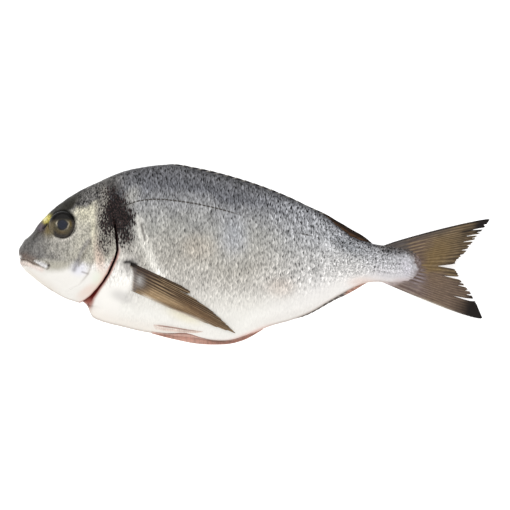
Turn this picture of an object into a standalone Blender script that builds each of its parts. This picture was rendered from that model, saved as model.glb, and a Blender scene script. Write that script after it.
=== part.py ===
"""A whole raw gilt-head bream, 320 mm long and about 0.57 kg, lying on its right side.

The head and the trunk are two lofts with an open gill slit between them. The fins are
thin ribbed sheets rooted in the body, and a union makes head, trunk and fins one solid.
The two eyeballs sit in sockets. +X points to the tail, +Y to the back and +Z up, and the
fish lies on the plane Z = 0.
"""

import math

import bmesh
import bpy
import numpy as np
from mathutils import Vector

MM = 0.001

# Driving dimensions of the whole fish
TOTAL_LENGTH = 320.0 * MM
BODY_LENGTH = 274.0 * MM
MIDDLE_HEIGHT = 20.0 * MM
TAIL_DROOP = 7.0 * MM
DROOP_START = 140.0 * MM

# Cross-section of the body: where it is widest, as a share of its depth from the belly up,
# and how fast the flanks narrow, where 1 would be an ellipse
WIDEST_LEVEL = 0.52
BACK_LEAN = 1.14
BELLY_LEAN = 0.96
NOSE_ROUNDING = 4.0 * MM
TAIL_ROUNDING = 10.0 * MM

# Outlines of the body in millimetres from the snout tip: (distance, height)
BACK = [
    (0, 9.2), (6, 12.9), (14.5, 22.4), (22.5, 30.4), (31, 37), (43, 44.4), (55, 50.1), (71, 56.8),
    (88, 60.2), (104, 61), (120, 58.3), (145, 52.2), (169, 44.3), (193.5, 33.8), (210, 25), (218, 18.6),
    (226, 13), (234, 9.8), (243, 7.2), (254, 6.2), (266, 4.6), (274, 3),
]
THROAT = [
    (0, -6.8), (6, -12.2), (14.5, -19), (22.5, -24.2), (31, -29), (38, -31.6), (44, -33.2), (56, -35.5),
    (70, -38),
]
BELLY = [
    (30, -29), (40, -31.6), (44, -34), (47, -37.4), (49, -40.4), (51.5, -42.8), (55, -44), (71, -48.6),
    (88, -52.5), (104, -54.6), (120, -56.4), (135, -58.4), (143, -58.4), (154, -55.2), (169, -48.6),
    (185, -44), (201, -37.3), (211, -31.4), (219, -26.8), (227, -22.6), (235, -19.4), (242, -18.4),
    (254, -19.4), (266, -17.8), (274, -16),
]
HALF_WIDTH = [
    (0, 6.4), (6, 8.4), (15, 11.2), (31, 14.6), (50, 18.8), (70, 21), (95, 21.5), (125, 20.4),
    (155, 17.2), (190, 12.4), (220, 8.2), (245, 5.4), (260, 3.2), (274, 1.7),
]

# Free edge of the gill cover, from nape to throat, in millimetres: (distance, height)
GILL_EDGE = [
    (57, 51.2), (60.5, 43), (63, 34), (64.6, 22.4), (66, 10.2), (66.4, 3.4), (64.8, -2.5), (62.6, -7.5),
    (60.3, -12.4), (57, -17.6), (53.2, -22.6), (49, -27.2), (45, -30.4), (41.5, -31.6),
]
COVER_THICKNESS = 1.1 * MM
SLIT_WIDTH = 2.2 * MM
SLIT_DEPTH = 4.2 * MM
SLIT_TOP = 0.76
SLIT_FADE = 0.14
NAPE_STEP = 0.35 * MM
HEAD_CORE = (46.0 * MM, 4.0 * MM)
TRUNK_CORE = (40.0 * MM, 4.0 * MM)

# Mesh of the body: rings along it, closer together at the snout and at the shoulder
SEGMENTS = 42
HEAD_RINGS = 20
TRUNK_RINGS = 32
SNOUT_CROWDING = 1.35
SHOULDER_CROWDING = 1.12

EYE_PLACE = (30.4 * MM, 20.1 * MM)
EYE_RADIUS = 9.0 * MM
EYE_HALF_DEPTH = 3.8 * MM
EYE_SINK = 2.0 * MM
EYE_UPWARD = math.radians(13)
EYE_FORWARD = math.radians(12)
FIT_GAP = 0.3 * MM

# Mouth: the cleft's middle line in millimetres, and the bony blade behind its corner
MOUTH_LINE = [(-2, -2.4), (6, -3.4), (10, -5.8), (15, -7.8), (19, -9.2)]
MOUTH_GAP = 0.9 * MM
MOUTH_TAPER = 0.75
MOUTH_HALF_WIDTH = 16.0 * MM
BLADE_PLACE = (15.2 * MM, -4.6 * MM)
BLADE_RADII = (6.4 * MM, 2.5 * MM, 1.8 * MM)
BLADE_SINK = 0.9 * MM
BLADE_LEAN = (math.radians(14), math.radians(16))
BLADE_SLOPE = math.radians(-32)

# Tail fin in millimetres, upper ray first: (share across, distance, height)
TAIL_ROOT = [
    (0, 246, 5.4), (0.12, 255, 3.2), (0.3, 261, -0.8), (0.5, 263, -6.4), (0.7, 261, -12.2),
    (0.88, 255, -16.6), (1, 246, -18),
]
TAIL_TIPS = [
    (0, 320, 24.3), (0.1, 316.2, 17.5), (0.19, 311.6, 13), (0.27, 309.4, 9.8), (0.34, 306, 5.6),
    (0.41, 303.6, 1.8), (0.47, 297, -4), (0.505, 295.4, -8.6), (0.55, 298.6, -13), (0.6, 300.2, -17),
    (0.66, 303.4, -20.9), (0.74, 307.4, -26), (0.83, 310.4, -31.6), (0.92, 312.6, -37.2), (1, 315, -42.8),
]
TAIL_RAYS = 16
TAIL_COLUMNS = 3 * TAIL_RAYS
TAIL_STEPS = 8
# Tears between rays: (column, depth as a share of the ray's length)
TAIL_TEARS = [
    (5, 0.05), (9, 0.07), (13, 0.09), (18, 0.11), (24, 0.33), (28, 0.3), (32, 0.07), (36, 0.04), (39, 0.27),
]
TAIL_THICKNESS = (3.0 * MM, 0.8 * MM)
TAIL_BOW = 2.0 * MM
TAIL_WAVE = 1.6 * MM

# Pectoral fins, laid back along the flanks, in the same form as the tail fin
PECTORAL_ROOT = [(0, 75.5, -5.2), (1, 75.5, -23.4)]
PECTORAL_TIPS = [
    (0, 117, -24.6), (0.15, 118, -27.2), (0.25, 132.3, -38.2), (0.42, 141.8, -47.2), (0.6, 146.9, -52.1),
    (0.7, 133.4, -47.8), (0.8, 119.3, -42.4), (0.9, 106, -37), (1, 94, -31.7),
]
PECTORAL_RAYS = 10
PECTORAL_COLUMNS = 2 * PECTORAL_RAYS
PECTORAL_STEPS = 7
PECTORAL_TEARS = [(4, 0.2)]
PECTORAL_THICKNESS = 1.1 * MM
PECTORAL_ROOT_SWELL = 1.5 * MM
PECTORAL_TIP_LIFT = 1.0 * MM

# Pelvic fins: one lies flat on the belly, the other is folded under the keel
FLAT_PELVIC_ROOT = [(0, 86, -45), (1, 88, -49.4)]
FLAT_PELVIC_TIPS = [(0, 128, -50.4), (0.3, 133, -52.6), (0.6, 130, -53.6), (1, 114, -52.6)]
KEEL_PELVIC_ROOT = [(0, 96, -50.4), (1, 97, -52.8)]
KEEL_PELVIC_TIPS = [(0, 152, -55.4), (0.45, 150, -58), (0.75, 136, -60.2), (1, 117, -59.6)]
KEEL_PELVIC_DROP = 3.2 * MM
PELVIC_RAYS = 6
PELVIC_STEPS = 8
PELVIC_THICKNESS = 1.4 * MM

# Folded median fins in millimetres: (distance, how far the fin stands out of the body)
DORSAL_FIN = [
    (98, 0.0), (104, 0.8), (120, 1.2), (150, 1.3), (185, 1.2), (202, 1.0), (213, 2.4), (222, 4.2),
    (231, 3.8), (236, 2.2), (240, 0.0),
]
ANAL_FIN = [(186, 0.0), (192, 0.9), (206, 1.2), (216, 1.6), (224, 2.0), (230, 1.5), (236, 0.0)]
DORSAL_BUMPS = 21
ANAL_BUMPS = 9
FOLDED_HALF_THICKNESS = 1.3 * MM
FOLDED_EDGE_SHARE = 0.38
FOLDED_ROOT_DEPTH = 2.2 * MM

SKIN_COLOUR = (0.42, 0.42, 0.41, 1.0)
EYE_COLOUR = (0.07, 0.065, 0.05, 1.0)


def clear_scene():
    for obj in list(bpy.data.objects):
        bpy.data.objects.remove(obj, do_unlink=True)


def new_collection(name):
    made = bpy.data.collections.new(name)
    bpy.context.scene.collection.children.link(made)
    return made


def new_material(name, colour, roughness):
    made = bpy.data.materials.new(name)
    made.use_nodes = True
    shader = made.node_tree.nodes["Principled BSDF"]
    shader.inputs["Base Color"].default_value = colour
    shader.inputs["Roughness"].default_value = roughness
    shader.inputs["Metallic"].default_value = 0.0
    return made


def clamp(value, low, high):
    return min(max(value, low), high)


def mix(a, b, t):
    return a + (b - a) * t


def ease(t):
    """0 to 1 with a level start and end."""
    t = clamp(t, 0.0, 1.0)
    return t * t * (3 - 2 * t)


def along(stations, x):
    """The smooth curve through a list of (distance, height) stations, all in metres."""
    xs, ys = np.array(stations, float).T * MM
    slopes = np.gradient(ys, xs)
    i = int(clamp(np.searchsorted(xs, x) - 1, 0, len(xs) - 2))
    span = xs[i + 1] - xs[i]
    t = clamp((x - xs[i]) / span, 0.0, 1.0)
    return (
        ys[i] * (2 * t**3 - 3 * t**2 + 1)
        + slopes[i] * span * (t**3 - 2 * t**2 + t)
        + ys[i + 1] * (3 * t**2 - 2 * t**3)
        + slopes[i + 1] * span * (t**3 - t**2)
    )


def across_at(rows, share):
    """The (distance, height) of a fin's root or tip line at a share of the way across it, in metres."""
    shares, xs, ys = np.array(rows, float).T
    return np.interp(share, shares, xs) * MM, np.interp(share, shares, ys) * MM


def middle_plane(x):
    """Height of the fish's own middle plane, which droops towards the tail."""
    return MIDDLE_HEIGHT - TAIL_DROOP * ease((x - DROOP_START) / (TOTAL_LENGTH - DROOP_START))


def rounding(x):
    """Closes the section at the snout and in the root of the tail, as an ellipse does."""
    nose = 1 - clamp(x / NOSE_ROUNDING, 0.0, 1.0)
    end = 1 - clamp((BODY_LENGTH - x) / TAIL_ROUNDING, 0.0, 1.0)
    return math.sqrt((1 - nose**2) * (1 - end**2))


def section(x, lower_outline, inset=0.0):
    """(widest level, height above it, depth below it, half width) of the cross-section at x."""
    top, bottom = along(BACK, x), along(lower_outline, x)
    level = mix(bottom, top, WIDEST_LEVEL)
    close = rounding(x)
    above = (top - level) * close - inset
    below = (level - bottom) * close - inset
    half_width = along(HALF_WIDTH, x) * close - inset
    return level, max(above, 0.0), max(below, 0.0), max(half_width, 0.0)


def lean(up):
    return BACK_LEAN if up > 0 else BELLY_LEAN


def ring_point(x, angle, lower_outline, inset=0.0):
    """A point of the skin. Angle 0 is the upper flank, a quarter turn the back."""
    level, above, below, half_width = section(x, lower_outline, inset)
    up, out = math.sin(angle), math.cos(angle)
    return Vector((
        x,
        level + up * (above if up > 0 else below),
        middle_plane(x) + half_width * math.copysign(abs(out) ** lean(up), out),
    ))


def flank_point(x, y, flank, lift, lower_outline=BELLY):
    """The point that stands lift above the skin of a flank, over (x, y) of the side view."""
    level, above, below, half_width = section(x, lower_outline)
    reach = above if y > level else below
    up = clamp((y - level) / reach, -0.99, 0.99)
    out = math.sqrt(1 - up * up)
    away = Vector((0, up / reach, flank * out / half_width)).normalized()
    skin = Vector((x, level + up * reach, middle_plane(x) + flank * half_width * out ** lean(up)))
    return skin + lift * away


def gill_edge_table():
    """The gill edge as (share of the height, from -1 at the throat to 1 at the nape, distance)."""
    rows = []
    for x, y in GILL_EDGE:
        level, above, below, _ = section(x * MM, THROAT)
        reach = above if y * MM > level else below
        rows.append((clamp((y * MM - level) / reach, -1.0, 1.0), x * MM))
    rows[0] = (1.0, rows[0][1])
    rows[-1] = (-1.0, rows[-1][1])
    return sorted(rows)


GILL_TABLE = gill_edge_table()


def gill_edge_x(angle):
    shares, xs = zip(*GILL_TABLE)
    return float(np.interp(math.sin(angle), shares, xs))


def slit_strength(angle):
    """1 where the gill slit is open, 0 on the nape, where the head runs into the trunk."""
    return 1 - ease((math.sin(angle) - SLIT_TOP) / SLIT_FADE)


def finish_mesh(name, mesh):
    bmesh.ops.recalc_face_normals(mesh, faces=mesh.faces)
    if mesh.calc_volume(signed=True) < 0:
        bmesh.ops.reverse_faces(mesh, faces=mesh.faces)
    data = bpy.data.meshes.new(name)
    mesh.to_mesh(data)
    mesh.free()
    obj = bpy.data.objects.new(name, data)
    PIECES.objects.link(obj)
    return obj


def loft(name, rings, point):
    """A sphere of len(rings) rings, poles included, whose ring i is moved to point(rings[i], angle)."""
    mesh = bmesh.new()
    bmesh.ops.create_uvsphere(mesh, u_segments=SEGMENTS, v_segments=len(rings) - 1, radius=1)
    for vertex in mesh.verts:
        turn = math.acos(clamp(vertex.co.z, -1.0, 1.0)) / math.pi
        ring = rings[round(turn * (len(rings) - 1))]
        vertex.co = point(ring, math.atan2(vertex.co.y, vertex.co.x))
    return finish_mesh(name, mesh)


def make_head():
    """Snout to gill cover. The cover's free edge is rounded and turns in under itself."""
    core = Vector((*HEAD_CORE, MIDDLE_HEIGHT))
    lining = COVER_THICKNESS + SLIT_DEPTH
    rings = [("skin", (i / HEAD_RINGS) ** SNOUT_CROWDING, 0.0) for i in range(HEAD_RINGS + 1)]
    rings += [("skin", 1.004, 0.4 * COVER_THICKNESS), ("skin", 1.0, COVER_THICKNESS)]
    rings += [("skin", 0.96, lining), ("core", 0.5, lining), ("core", 1.0, lining)]

    def point(ring, angle):
        kind, share, inset = ring
        edge = gill_edge_x(angle)
        if kind == "skin":
            return ring_point(share * edge, angle, THROAT, inset)
        return ring_point(0.94 * edge, angle, THROAT, inset).lerp(core, share)

    return loft("head", rings, point)


def make_trunk():
    """Shoulder to tail root. It starts under the gill cover and rises out of the slit."""
    core = Vector((*TRUNK_CORE, MIDDLE_HEIGHT))
    under_cover = -6.0 * MM
    rings = [("core", 0.0, 1.6), ("core", 0.5, 1.6), ("slit", under_cover, 1.0), ("slit", -1.0 * MM, 1.0)]
    rings += [("slit", 0.1 * SLIT_WIDTH, 1.0), ("slit", 0.45 * SLIT_WIDTH, 0.8)]
    rings += [("slit", 0.8 * SLIT_WIDTH, 0.3), ("slit", 1.3 * SLIT_WIDTH, 0.0)]
    rings += [("flank", (i / TRUNK_RINGS) ** SHOULDER_CROWDING, 0.0) for i in range(TRUNK_RINGS + 1)]

    def point(ring, angle):
        kind, place, drop = ring
        edge = gill_edge_x(angle)
        depth = drop * mix(NAPE_STEP, SLIT_DEPTH, slit_strength(angle))
        if kind == "core":
            return core.lerp(ring_point(edge + under_cover, angle, BELLY, depth), place)
        if kind == "slit":
            return ring_point(edge + place, angle, BELLY, depth)
        return ring_point(mix(edge + 2.2 * SLIT_WIDTH, BODY_LENGTH, place), angle, BELLY)

    return loft("trunk", rings, point)


def sheet(name, columns, steps, point):
    """A thin closed fin. point(across, out, side) gives both faces, with side +1 or -1."""
    mesh = bmesh.new()
    made = bmesh.ops.create_grid(mesh, x_segments=columns, y_segments=steps, size=0.5)
    places = {vertex: (vertex.co.x + 0.5, vertex.co.y + 0.5) for vertex in made["verts"]}
    copied = bmesh.ops.duplicate(mesh, geom=mesh.verts[:] + mesh.edges[:] + mesh.faces[:])
    for front, place in places.items():
        copied["vert_map"][front].co = point(*place, -1)
        front.co = point(*place, 1)
    bmesh.ops.bridge_loops(mesh, edges=[edge for edge in mesh.edges if edge.is_boundary])
    bmesh.ops.triangulate(mesh, faces=mesh.faces[:])
    return finish_mesh(name, mesh)


def torn(across, tears, columns):
    """The share of a ray's length that is left, where tears pull the edge back by one column."""
    lost = [depth * max(0.0, 1 - abs(across * columns - column)) for column, depth in tears]
    return 1 - sum(lost)


def ribbed(across, rays, depth):
    """1 on a ray, and 1 - depth in the web between two rays."""
    return 1 - depth * (0.5 - 0.5 * math.cos(2 * math.pi * rays * across))


def spread(root, tips, across, out):
    """A place on a fin: its share across from the upper ray, and its share out from the root."""
    root_x, root_y = across_at(root, across)
    tip_x, tip_y = across_at(tips, across)
    return mix(root_x, tip_x, out), mix(root_y, tip_y, out)


def make_tail_fin():
    """The forked tail fin, thin at its torn rear edge and rooted in the scaled body."""

    def point(across, out, side):
        reach = out * torn(across, TAIL_TEARS, TAIL_COLUMNS)
        x, y = spread(TAIL_ROOT, TAIL_TIPS, across, reach)
        y += (1 - 2 * across) * TAIL_BOW * math.sqrt(4 * reach * (1 - reach))
        half = mix(*TAIL_THICKNESS, reach**0.7) / 2 * ribbed(across, TAIL_RAYS, 0.28)
        wave = TAIL_WAVE * math.sin(2.2 * math.pi * across) * reach**1.5
        return Vector((x, y, middle_plane(x) + wave + side * half))

    return sheet("tail_fin", TAIL_COLUMNS, TAIL_STEPS, point)


def make_pectoral_fin(name, flank):
    """A long pointed fin that lies back along the flank, with its fleshy root in the shoulder."""

    def point(across, out, side):
        reach = out * torn(across, PECTORAL_TEARS, PECTORAL_COLUMNS)
        x, y = spread(PECTORAL_ROOT, PECTORAL_TIPS, across, reach)
        lift = PECTORAL_TIP_LIFT * ease((out - 0.6) / 0.4)
        if side < 0:
            return flank_point(x, y, flank, 1.5 * lift - 0.9 * MM)
        thickness = 1.1 * PECTORAL_THICKNESS * ribbed(across, PECTORAL_RAYS, 0.32) * (1 - 0.35 * out)
        thickness += PECTORAL_ROOT_SWELL * (1 - ease(out / 0.22))
        thickness *= 0.5 + 0.5 * min(1.0, 9 * across, 9 * (1 - across))
        return flank_point(x, y, flank, lift + thickness)

    return sheet(name, PECTORAL_COLUMNS, PECTORAL_STEPS, point)


def make_flat_pelvic_fin():
    def point(across, out, side):
        x, y = spread(FLAT_PELVIC_ROOT, FLAT_PELVIC_TIPS, across, out)
        if side < 0:
            return flank_point(x, y, 1, -1.2 * MM)
        return flank_point(x, y, 1, PELVIC_THICKNESS * ribbed(across, PELVIC_RAYS, 0.3) * (1 - 0.4 * out))

    return sheet("pelvic_fin_flat", 2 * PELVIC_RAYS, PELVIC_STEPS, point)


def make_keel_pelvic_fin():
    def point(across, out, side):
        x, y = spread(KEEL_PELVIC_ROOT, KEEL_PELVIC_TIPS, across, out)
        y -= 1.6 * MM * math.sin(math.pi * out) * across
        half = 1.1 * PELVIC_THICKNESS * ribbed(across, PELVIC_RAYS, 0.32) * (1 - 0.4 * out)
        return Vector((x, y, middle_plane(x) - KEEL_PELVIC_DROP + side * half))

    return sheet("pelvic_fin_keel", 2 * PELVIC_RAYS, PELVIC_STEPS, point)


def make_folded_fin(name, outline, heights, outward, bumps):
    """A fin folded into its groove: a low ridge along the body, with its spines as bumps."""
    first, last = heights[0][0] * MM, heights[-1][0] * MM

    def point(across, out, side):
        x = mix(first, last, across)
        stand = max(along(heights, x), 0.0) * (0.82 + 0.18 * abs(math.sin(math.pi * bumps * across)))
        y = along(outline, x) + outward * mix(-FOLDED_ROOT_DEPTH, stand - 0.2 * MM, out)
        half = FOLDED_HALF_THICKNESS * mix(1, FOLDED_EDGE_SHARE, out)
        half *= min(1.0, 0.3 + 6 * across, 0.3 + 6 * (1 - across))
        return Vector((x, y, middle_plane(x) + side * half))

    return sheet(name, 2 * bumps, 3, point)


def ellipsoid(name, collection, centre, radii, segments, rings):
    bpy.ops.mesh.primitive_uv_sphere_add(segments=segments, ring_count=rings, radius=1)
    obj = bpy.context.active_object
    obj.name = name
    for vertex in obj.data.vertices:
        vertex.co = Vector(c * r for c, r in zip(vertex.co, radii))
    obj.location = centre
    move_to(obj, collection)
    obj.data.shade_smooth()
    return obj


def move_to(obj, collection):
    for owner in list(obj.users_collection):
        owner.objects.unlink(obj)
    collection.objects.link(obj)


def make_maxilla(name, flank):
    """The bony blade of the upper jaw, which lies on the cheek behind the mouth."""
    skin = flank_point(*BLADE_PLACE, flank, 0.0, THROAT)
    centre = skin - Vector((0, 0, flank * BLADE_SINK))
    blade = ellipsoid(name, PIECES, centre, BLADE_RADII, 16, 8)
    blade.rotation_euler = (flank * BLADE_LEAN[0], -flank * BLADE_LEAN[1], BLADE_SLOPE)
    return blade


def make_eyeball(name, collection, flank, gap, segments, rings):
    """An eyeball, or with a gap its socket, which faces out, a little up and forward."""
    skin = flank_point(*EYE_PLACE, flank, 0.0, THROAT)
    centre = skin - Vector((0, 0, flank * EYE_SINK))
    radii = (EYE_RADIUS + gap, EYE_RADIUS + gap, EYE_HALF_DEPTH + gap)
    ball = ellipsoid(name, collection, centre, radii, segments, rings)
    ball.rotation_euler = (-flank * EYE_UPWARD, -flank * EYE_FORWARD, 0)
    return ball


def make_eye(name, flank, material):
    eye = make_eyeball(name, FISH, flank, 0.0, 28, 10)
    eye.data.materials.append(material)
    return eye


def make_socket(name, flank):
    return as_cutter(make_eyeball(name, CUTTERS, flank, FIT_GAP, 32, 12))


def as_cutter(obj):
    obj.hide_render = True
    obj.display_type = "WIRE"
    return obj


def make_mouth_cleft():
    """A thin wedge along the mouth line, right through the snout from flank to flank."""
    curve = bpy.data.curves.new("mouth_outline", "CURVE")
    curve.dimensions = "2D"
    curve.fill_mode = "BOTH"
    curve.extrude = MOUTH_HALF_WIDTH
    corner = len(MOUTH_LINE) - 1
    halves = [MOUTH_GAP / 2 * (1 - MOUTH_TAPER * i / corner) for i in range(corner + 1)]
    upper = [(x * MM, y * MM + half) for (x, y), half in zip(MOUTH_LINE, halves)]
    lower = [(x * MM, y * MM - half) for (x, y), half in zip(MOUTH_LINE, halves)]
    spline = curve.splines.new("POLY")
    spline.points.add(2 * corner + 1)
    for place, (x, y) in zip(spline.points, upper + lower[::-1]):
        place.co = (x, y, 0, 1)
    spline.use_cyclic_u = True
    outline = bpy.data.objects.new("mouth_outline", curve)
    CUTTERS.objects.link(outline)
    outline.location.z = MIDDLE_HEIGHT
    bpy.context.view_layer.update()
    graph = bpy.context.evaluated_depsgraph_get()
    wedge = bpy.data.meshes.new_from_object(outline.evaluated_get(graph))
    cleft = bpy.data.objects.new("mouth_cleft", wedge)
    cleft.matrix_world = outline.matrix_world
    bpy.data.objects.remove(outline)
    CUTTERS.objects.link(cleft)
    mesh = bmesh.new()
    mesh.from_mesh(wedge)
    bmesh.ops.remove_doubles(mesh, verts=mesh.verts, dist=0.01 * MM)
    bmesh.ops.recalc_face_normals(mesh, faces=mesh.faces)
    mesh.to_mesh(wedge)
    mesh.free()
    return as_cutter(cleft)


def make_resting_plane():
    """A block below Z = 0, which planes the lower flank off as the fish's own weight flattens it."""
    bpy.ops.mesh.primitive_cube_add(size=1)
    block = bpy.context.active_object
    block.name = "resting_plane"
    depth = 0.05
    for vertex in block.data.vertices:
        vertex.co = Vector(c * side for c, side in zip(vertex.co, (2 * TOTAL_LENGTH, TOTAL_LENGTH, depth)))
    block.location = (TOTAL_LENGTH / 2, 0, -depth / 2)
    move_to(block, CUTTERS)
    return as_cutter(block)


def apply_boolean(target, operation, **operand):
    cut = target.modifiers.new(operation, "BOOLEAN")
    cut.operation = operation
    cut.solver = "EXACT"
    for key, value in operand.items():
        setattr(cut, key, value)
    bpy.context.view_layer.update()
    graph = bpy.context.evaluated_depsgraph_get()
    result = bpy.data.meshes.new_from_object(target.evaluated_get(graph))
    target.modifiers.clear()
    target.data = result


def join_pieces(name, material):
    """One Boolean union makes head, trunk, jaw blades and fins one solid."""
    joined = PIECES.objects["trunk"]
    move_to(joined, FISH)
    joined.name = name
    apply_boolean(joined, "UNION", operand_type="COLLECTION", collection=PIECES)
    for piece in list(PIECES.objects):
        bpy.data.objects.remove(piece, do_unlink=True)
    joined.data.materials.clear()
    joined.data.materials.append(material)
    return joined


def centre_on_origin(objects):
    """Puts the origin on the resting plane, under the middle of the fish's bounding box."""
    bpy.context.view_layer.update()
    corners = [obj.matrix_world @ vertex.co for obj in objects for vertex in obj.data.vertices]
    middle = [(min(c[i] for c in corners) + max(c[i] for c in corners)) / 2 for i in (0, 1)]
    for obj in objects:
        obj.location.x -= middle[0]
        obj.location.y -= middle[1]


clear_scene()
FISH = new_collection("gilt_head_bream")
PIECES = new_collection("pieces_to_join")
CUTTERS = new_collection("cutters")

skin_material = new_material("skin", SKIN_COLOUR, 0.4)
eye_material = new_material("eyeball", EYE_COLOUR, 0.12)

make_head()
make_trunk()
make_tail_fin()
make_folded_fin("dorsal_fin", BACK, DORSAL_FIN, 1, DORSAL_BUMPS)
make_folded_fin("anal_fin", BELLY, ANAL_FIN, -1, ANAL_BUMPS)
make_pectoral_fin("pectoral_fin_left", 1)
make_pectoral_fin("pectoral_fin_right", -1)
make_flat_pelvic_fin()
make_keel_pelvic_fin()
make_maxilla("maxilla_left", 1)
make_maxilla("maxilla_right", -1)
fish = join_pieces("fish", skin_material)

for cutter in (
    make_socket("socket_left", 1),
    make_socket("socket_right", -1),
    make_mouth_cleft(),
    make_resting_plane(),
):
    apply_boolean(fish, "DIFFERENCE", object=cutter)
fish.data.shade_smooth()
fish.data.set_sharp_from_angle(angle=math.radians(35))

eyes = [make_eye("eye_left", 1, eye_material), make_eye("eye_right", -1, eye_material)]
centre_on_origin([fish, *eyes])
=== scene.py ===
import math

import bmesh
import bpy
import numpy as np
from mathutils import Euler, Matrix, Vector


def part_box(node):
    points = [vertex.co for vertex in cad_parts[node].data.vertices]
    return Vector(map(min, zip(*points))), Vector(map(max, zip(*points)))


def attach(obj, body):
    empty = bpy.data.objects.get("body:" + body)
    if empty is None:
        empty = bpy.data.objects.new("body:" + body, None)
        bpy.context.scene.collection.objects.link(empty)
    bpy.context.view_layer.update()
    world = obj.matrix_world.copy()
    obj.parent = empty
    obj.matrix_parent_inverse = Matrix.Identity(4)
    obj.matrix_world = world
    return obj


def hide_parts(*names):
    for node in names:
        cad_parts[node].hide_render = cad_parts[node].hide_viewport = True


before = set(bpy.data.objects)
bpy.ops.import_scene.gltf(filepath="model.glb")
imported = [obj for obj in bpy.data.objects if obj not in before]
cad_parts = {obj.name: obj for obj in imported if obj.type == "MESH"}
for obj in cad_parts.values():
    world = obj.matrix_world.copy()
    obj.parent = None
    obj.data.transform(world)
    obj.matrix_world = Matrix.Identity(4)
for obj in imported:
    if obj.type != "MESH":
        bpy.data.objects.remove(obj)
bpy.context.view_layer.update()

# The studio: a white paper floor under the fish, a white dome all round it, one broad lamp
# high over the back and a weaker one over the belly. The camera hangs over the middle of the
# fish and looks straight down through a long lens.
MM = 0.001
PHOTO_WIDTH = 510
SNOUT_PIXEL = 18.8
PIXEL = 0.6787 * MM
eye_low, eye_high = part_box("eye_left")
EYE_PLACE = np.array((30.4, 20.1)) * MM
SNOUT_X = (eye_low.x + eye_high.x) / 2 - EYE_PLACE[0]
DATUM_Y = (eye_low.y + eye_high.y) / 2 - EYE_PLACE[1]
MIDDLE_HEIGHT = 20.0
CAMERA_HEIGHT = 3.0
SENSOR_WIDTH = 36.0
CAMERA_REACH = 100.0
FLOOR_SIZE = 14.0
PAPER_WHITE = (0.93, 0.93, 0.93, 1)
PAPER_GLOW = 0.5
DOME_GLOW = 0.66
WHITE_LIGHT = (1, 1, 1, 1)
# Each lamp: place and width in metres, watts
LAMPS = {
    "lamp_over_back": ((-0.35, 0.9, 1.5), 2.2, 15.0),
    "lamp_over_belly": ((0.4, -0.7, 1.6), 2.4, 8.0),
}


def new_material(name):
    material = bpy.data.materials.new(name)
    material.use_nodes = True
    return material, material.node_tree, material.node_tree.nodes["Principled BSDF"]


def put_object(name, data):
    made = bpy.data.objects.new(name, data)
    bpy.context.scene.collection.objects.link(made)
    return made


def lay_floor():
    shape = bmesh.new()
    bmesh.ops.create_grid(shape, x_segments=1, y_segments=1, size=FLOOR_SIZE)
    mesh = bpy.data.meshes.new("studio_floor")
    shape.to_mesh(mesh)
    shape.free()
    floor = put_object("studio_floor", mesh)
    material, _, shader = new_material("white_paper")
    shader.inputs["Base Color"].default_value = PAPER_WHITE
    shader.inputs["Roughness"].default_value = 0.9
    shader.inputs["Specular IOR Level"].default_value = 0.1
    shader.inputs["Emission Color"].default_value = WHITE_LIGHT
    shader.inputs["Emission Strength"].default_value = PAPER_GLOW
    floor.data.materials.append(material)


def hang_lamp(name, place, width, watts):
    """A round lamp aimed at the middle of the fish."""
    data = bpy.data.lights.new(name, "AREA")
    data.shape = "DISK"
    data.size = width
    data.energy = watts
    lamp = put_object(name, data)
    lamp.location = place
    lamp.rotation_euler = (-Vector(place)).to_track_quat("-Z", "Y").to_euler()


def hang_camera():
    middle_x = SNOUT_X + (PHOTO_WIDTH / 2 - SNOUT_PIXEL) * PIXEL
    data = bpy.data.cameras.new("camera")
    data.sensor_width = SENSOR_WIDTH
    data.lens = SENSOR_WIDTH * CAMERA_HEIGHT / (PHOTO_WIDTH * PIXEL)
    data.clip_end = CAMERA_REACH
    camera = put_object("camera", data)
    camera.location = (middle_x, DATUM_Y, CAMERA_HEIGHT + MIDDLE_HEIGHT * MM)
    bpy.context.scene.camera = camera


def white_dome():
    world = bpy.data.worlds.new("white_dome")
    world.use_nodes = True
    background = world.node_tree.nodes["Background"]
    background.inputs["Color"].default_value = WHITE_LIGHT
    background.inputs["Strength"].default_value = DOME_GLOW
    bpy.context.scene.world = world


lay_floor()
white_dome()
for lamp_name, lamp_values in LAMPS.items():
    hang_lamp(lamp_name, *lamp_values)
hang_camera()
bpy.context.scene.view_settings.view_transform = "Standard"

# The head: snout, cheek and gill cover of one bony casing under smooth skin. It is a loft of
# rings from the snout tip to the free edge of the gill cover, which turns in under itself.
# The mouth, lips, nostrils and cheek plates are relief, and the colours are laid on in patches.
BODY_LENGTH = 274.0
TOTAL_LENGTH = 320.0
TAIL_DROOP = 7.0
DROOP_START = 140.0
WIDEST_LEVEL = 0.52
BACK_LEAN, BELLY_LEAN = 1.14, 0.96
NOSE_ROUNDING, TAIL_ROUNDING = 4.0, 10.0
OVAL_HEIGHT = 2.7
OVAL_STEPS = 720
SKIN_CLEARANCE = 0.04
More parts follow.
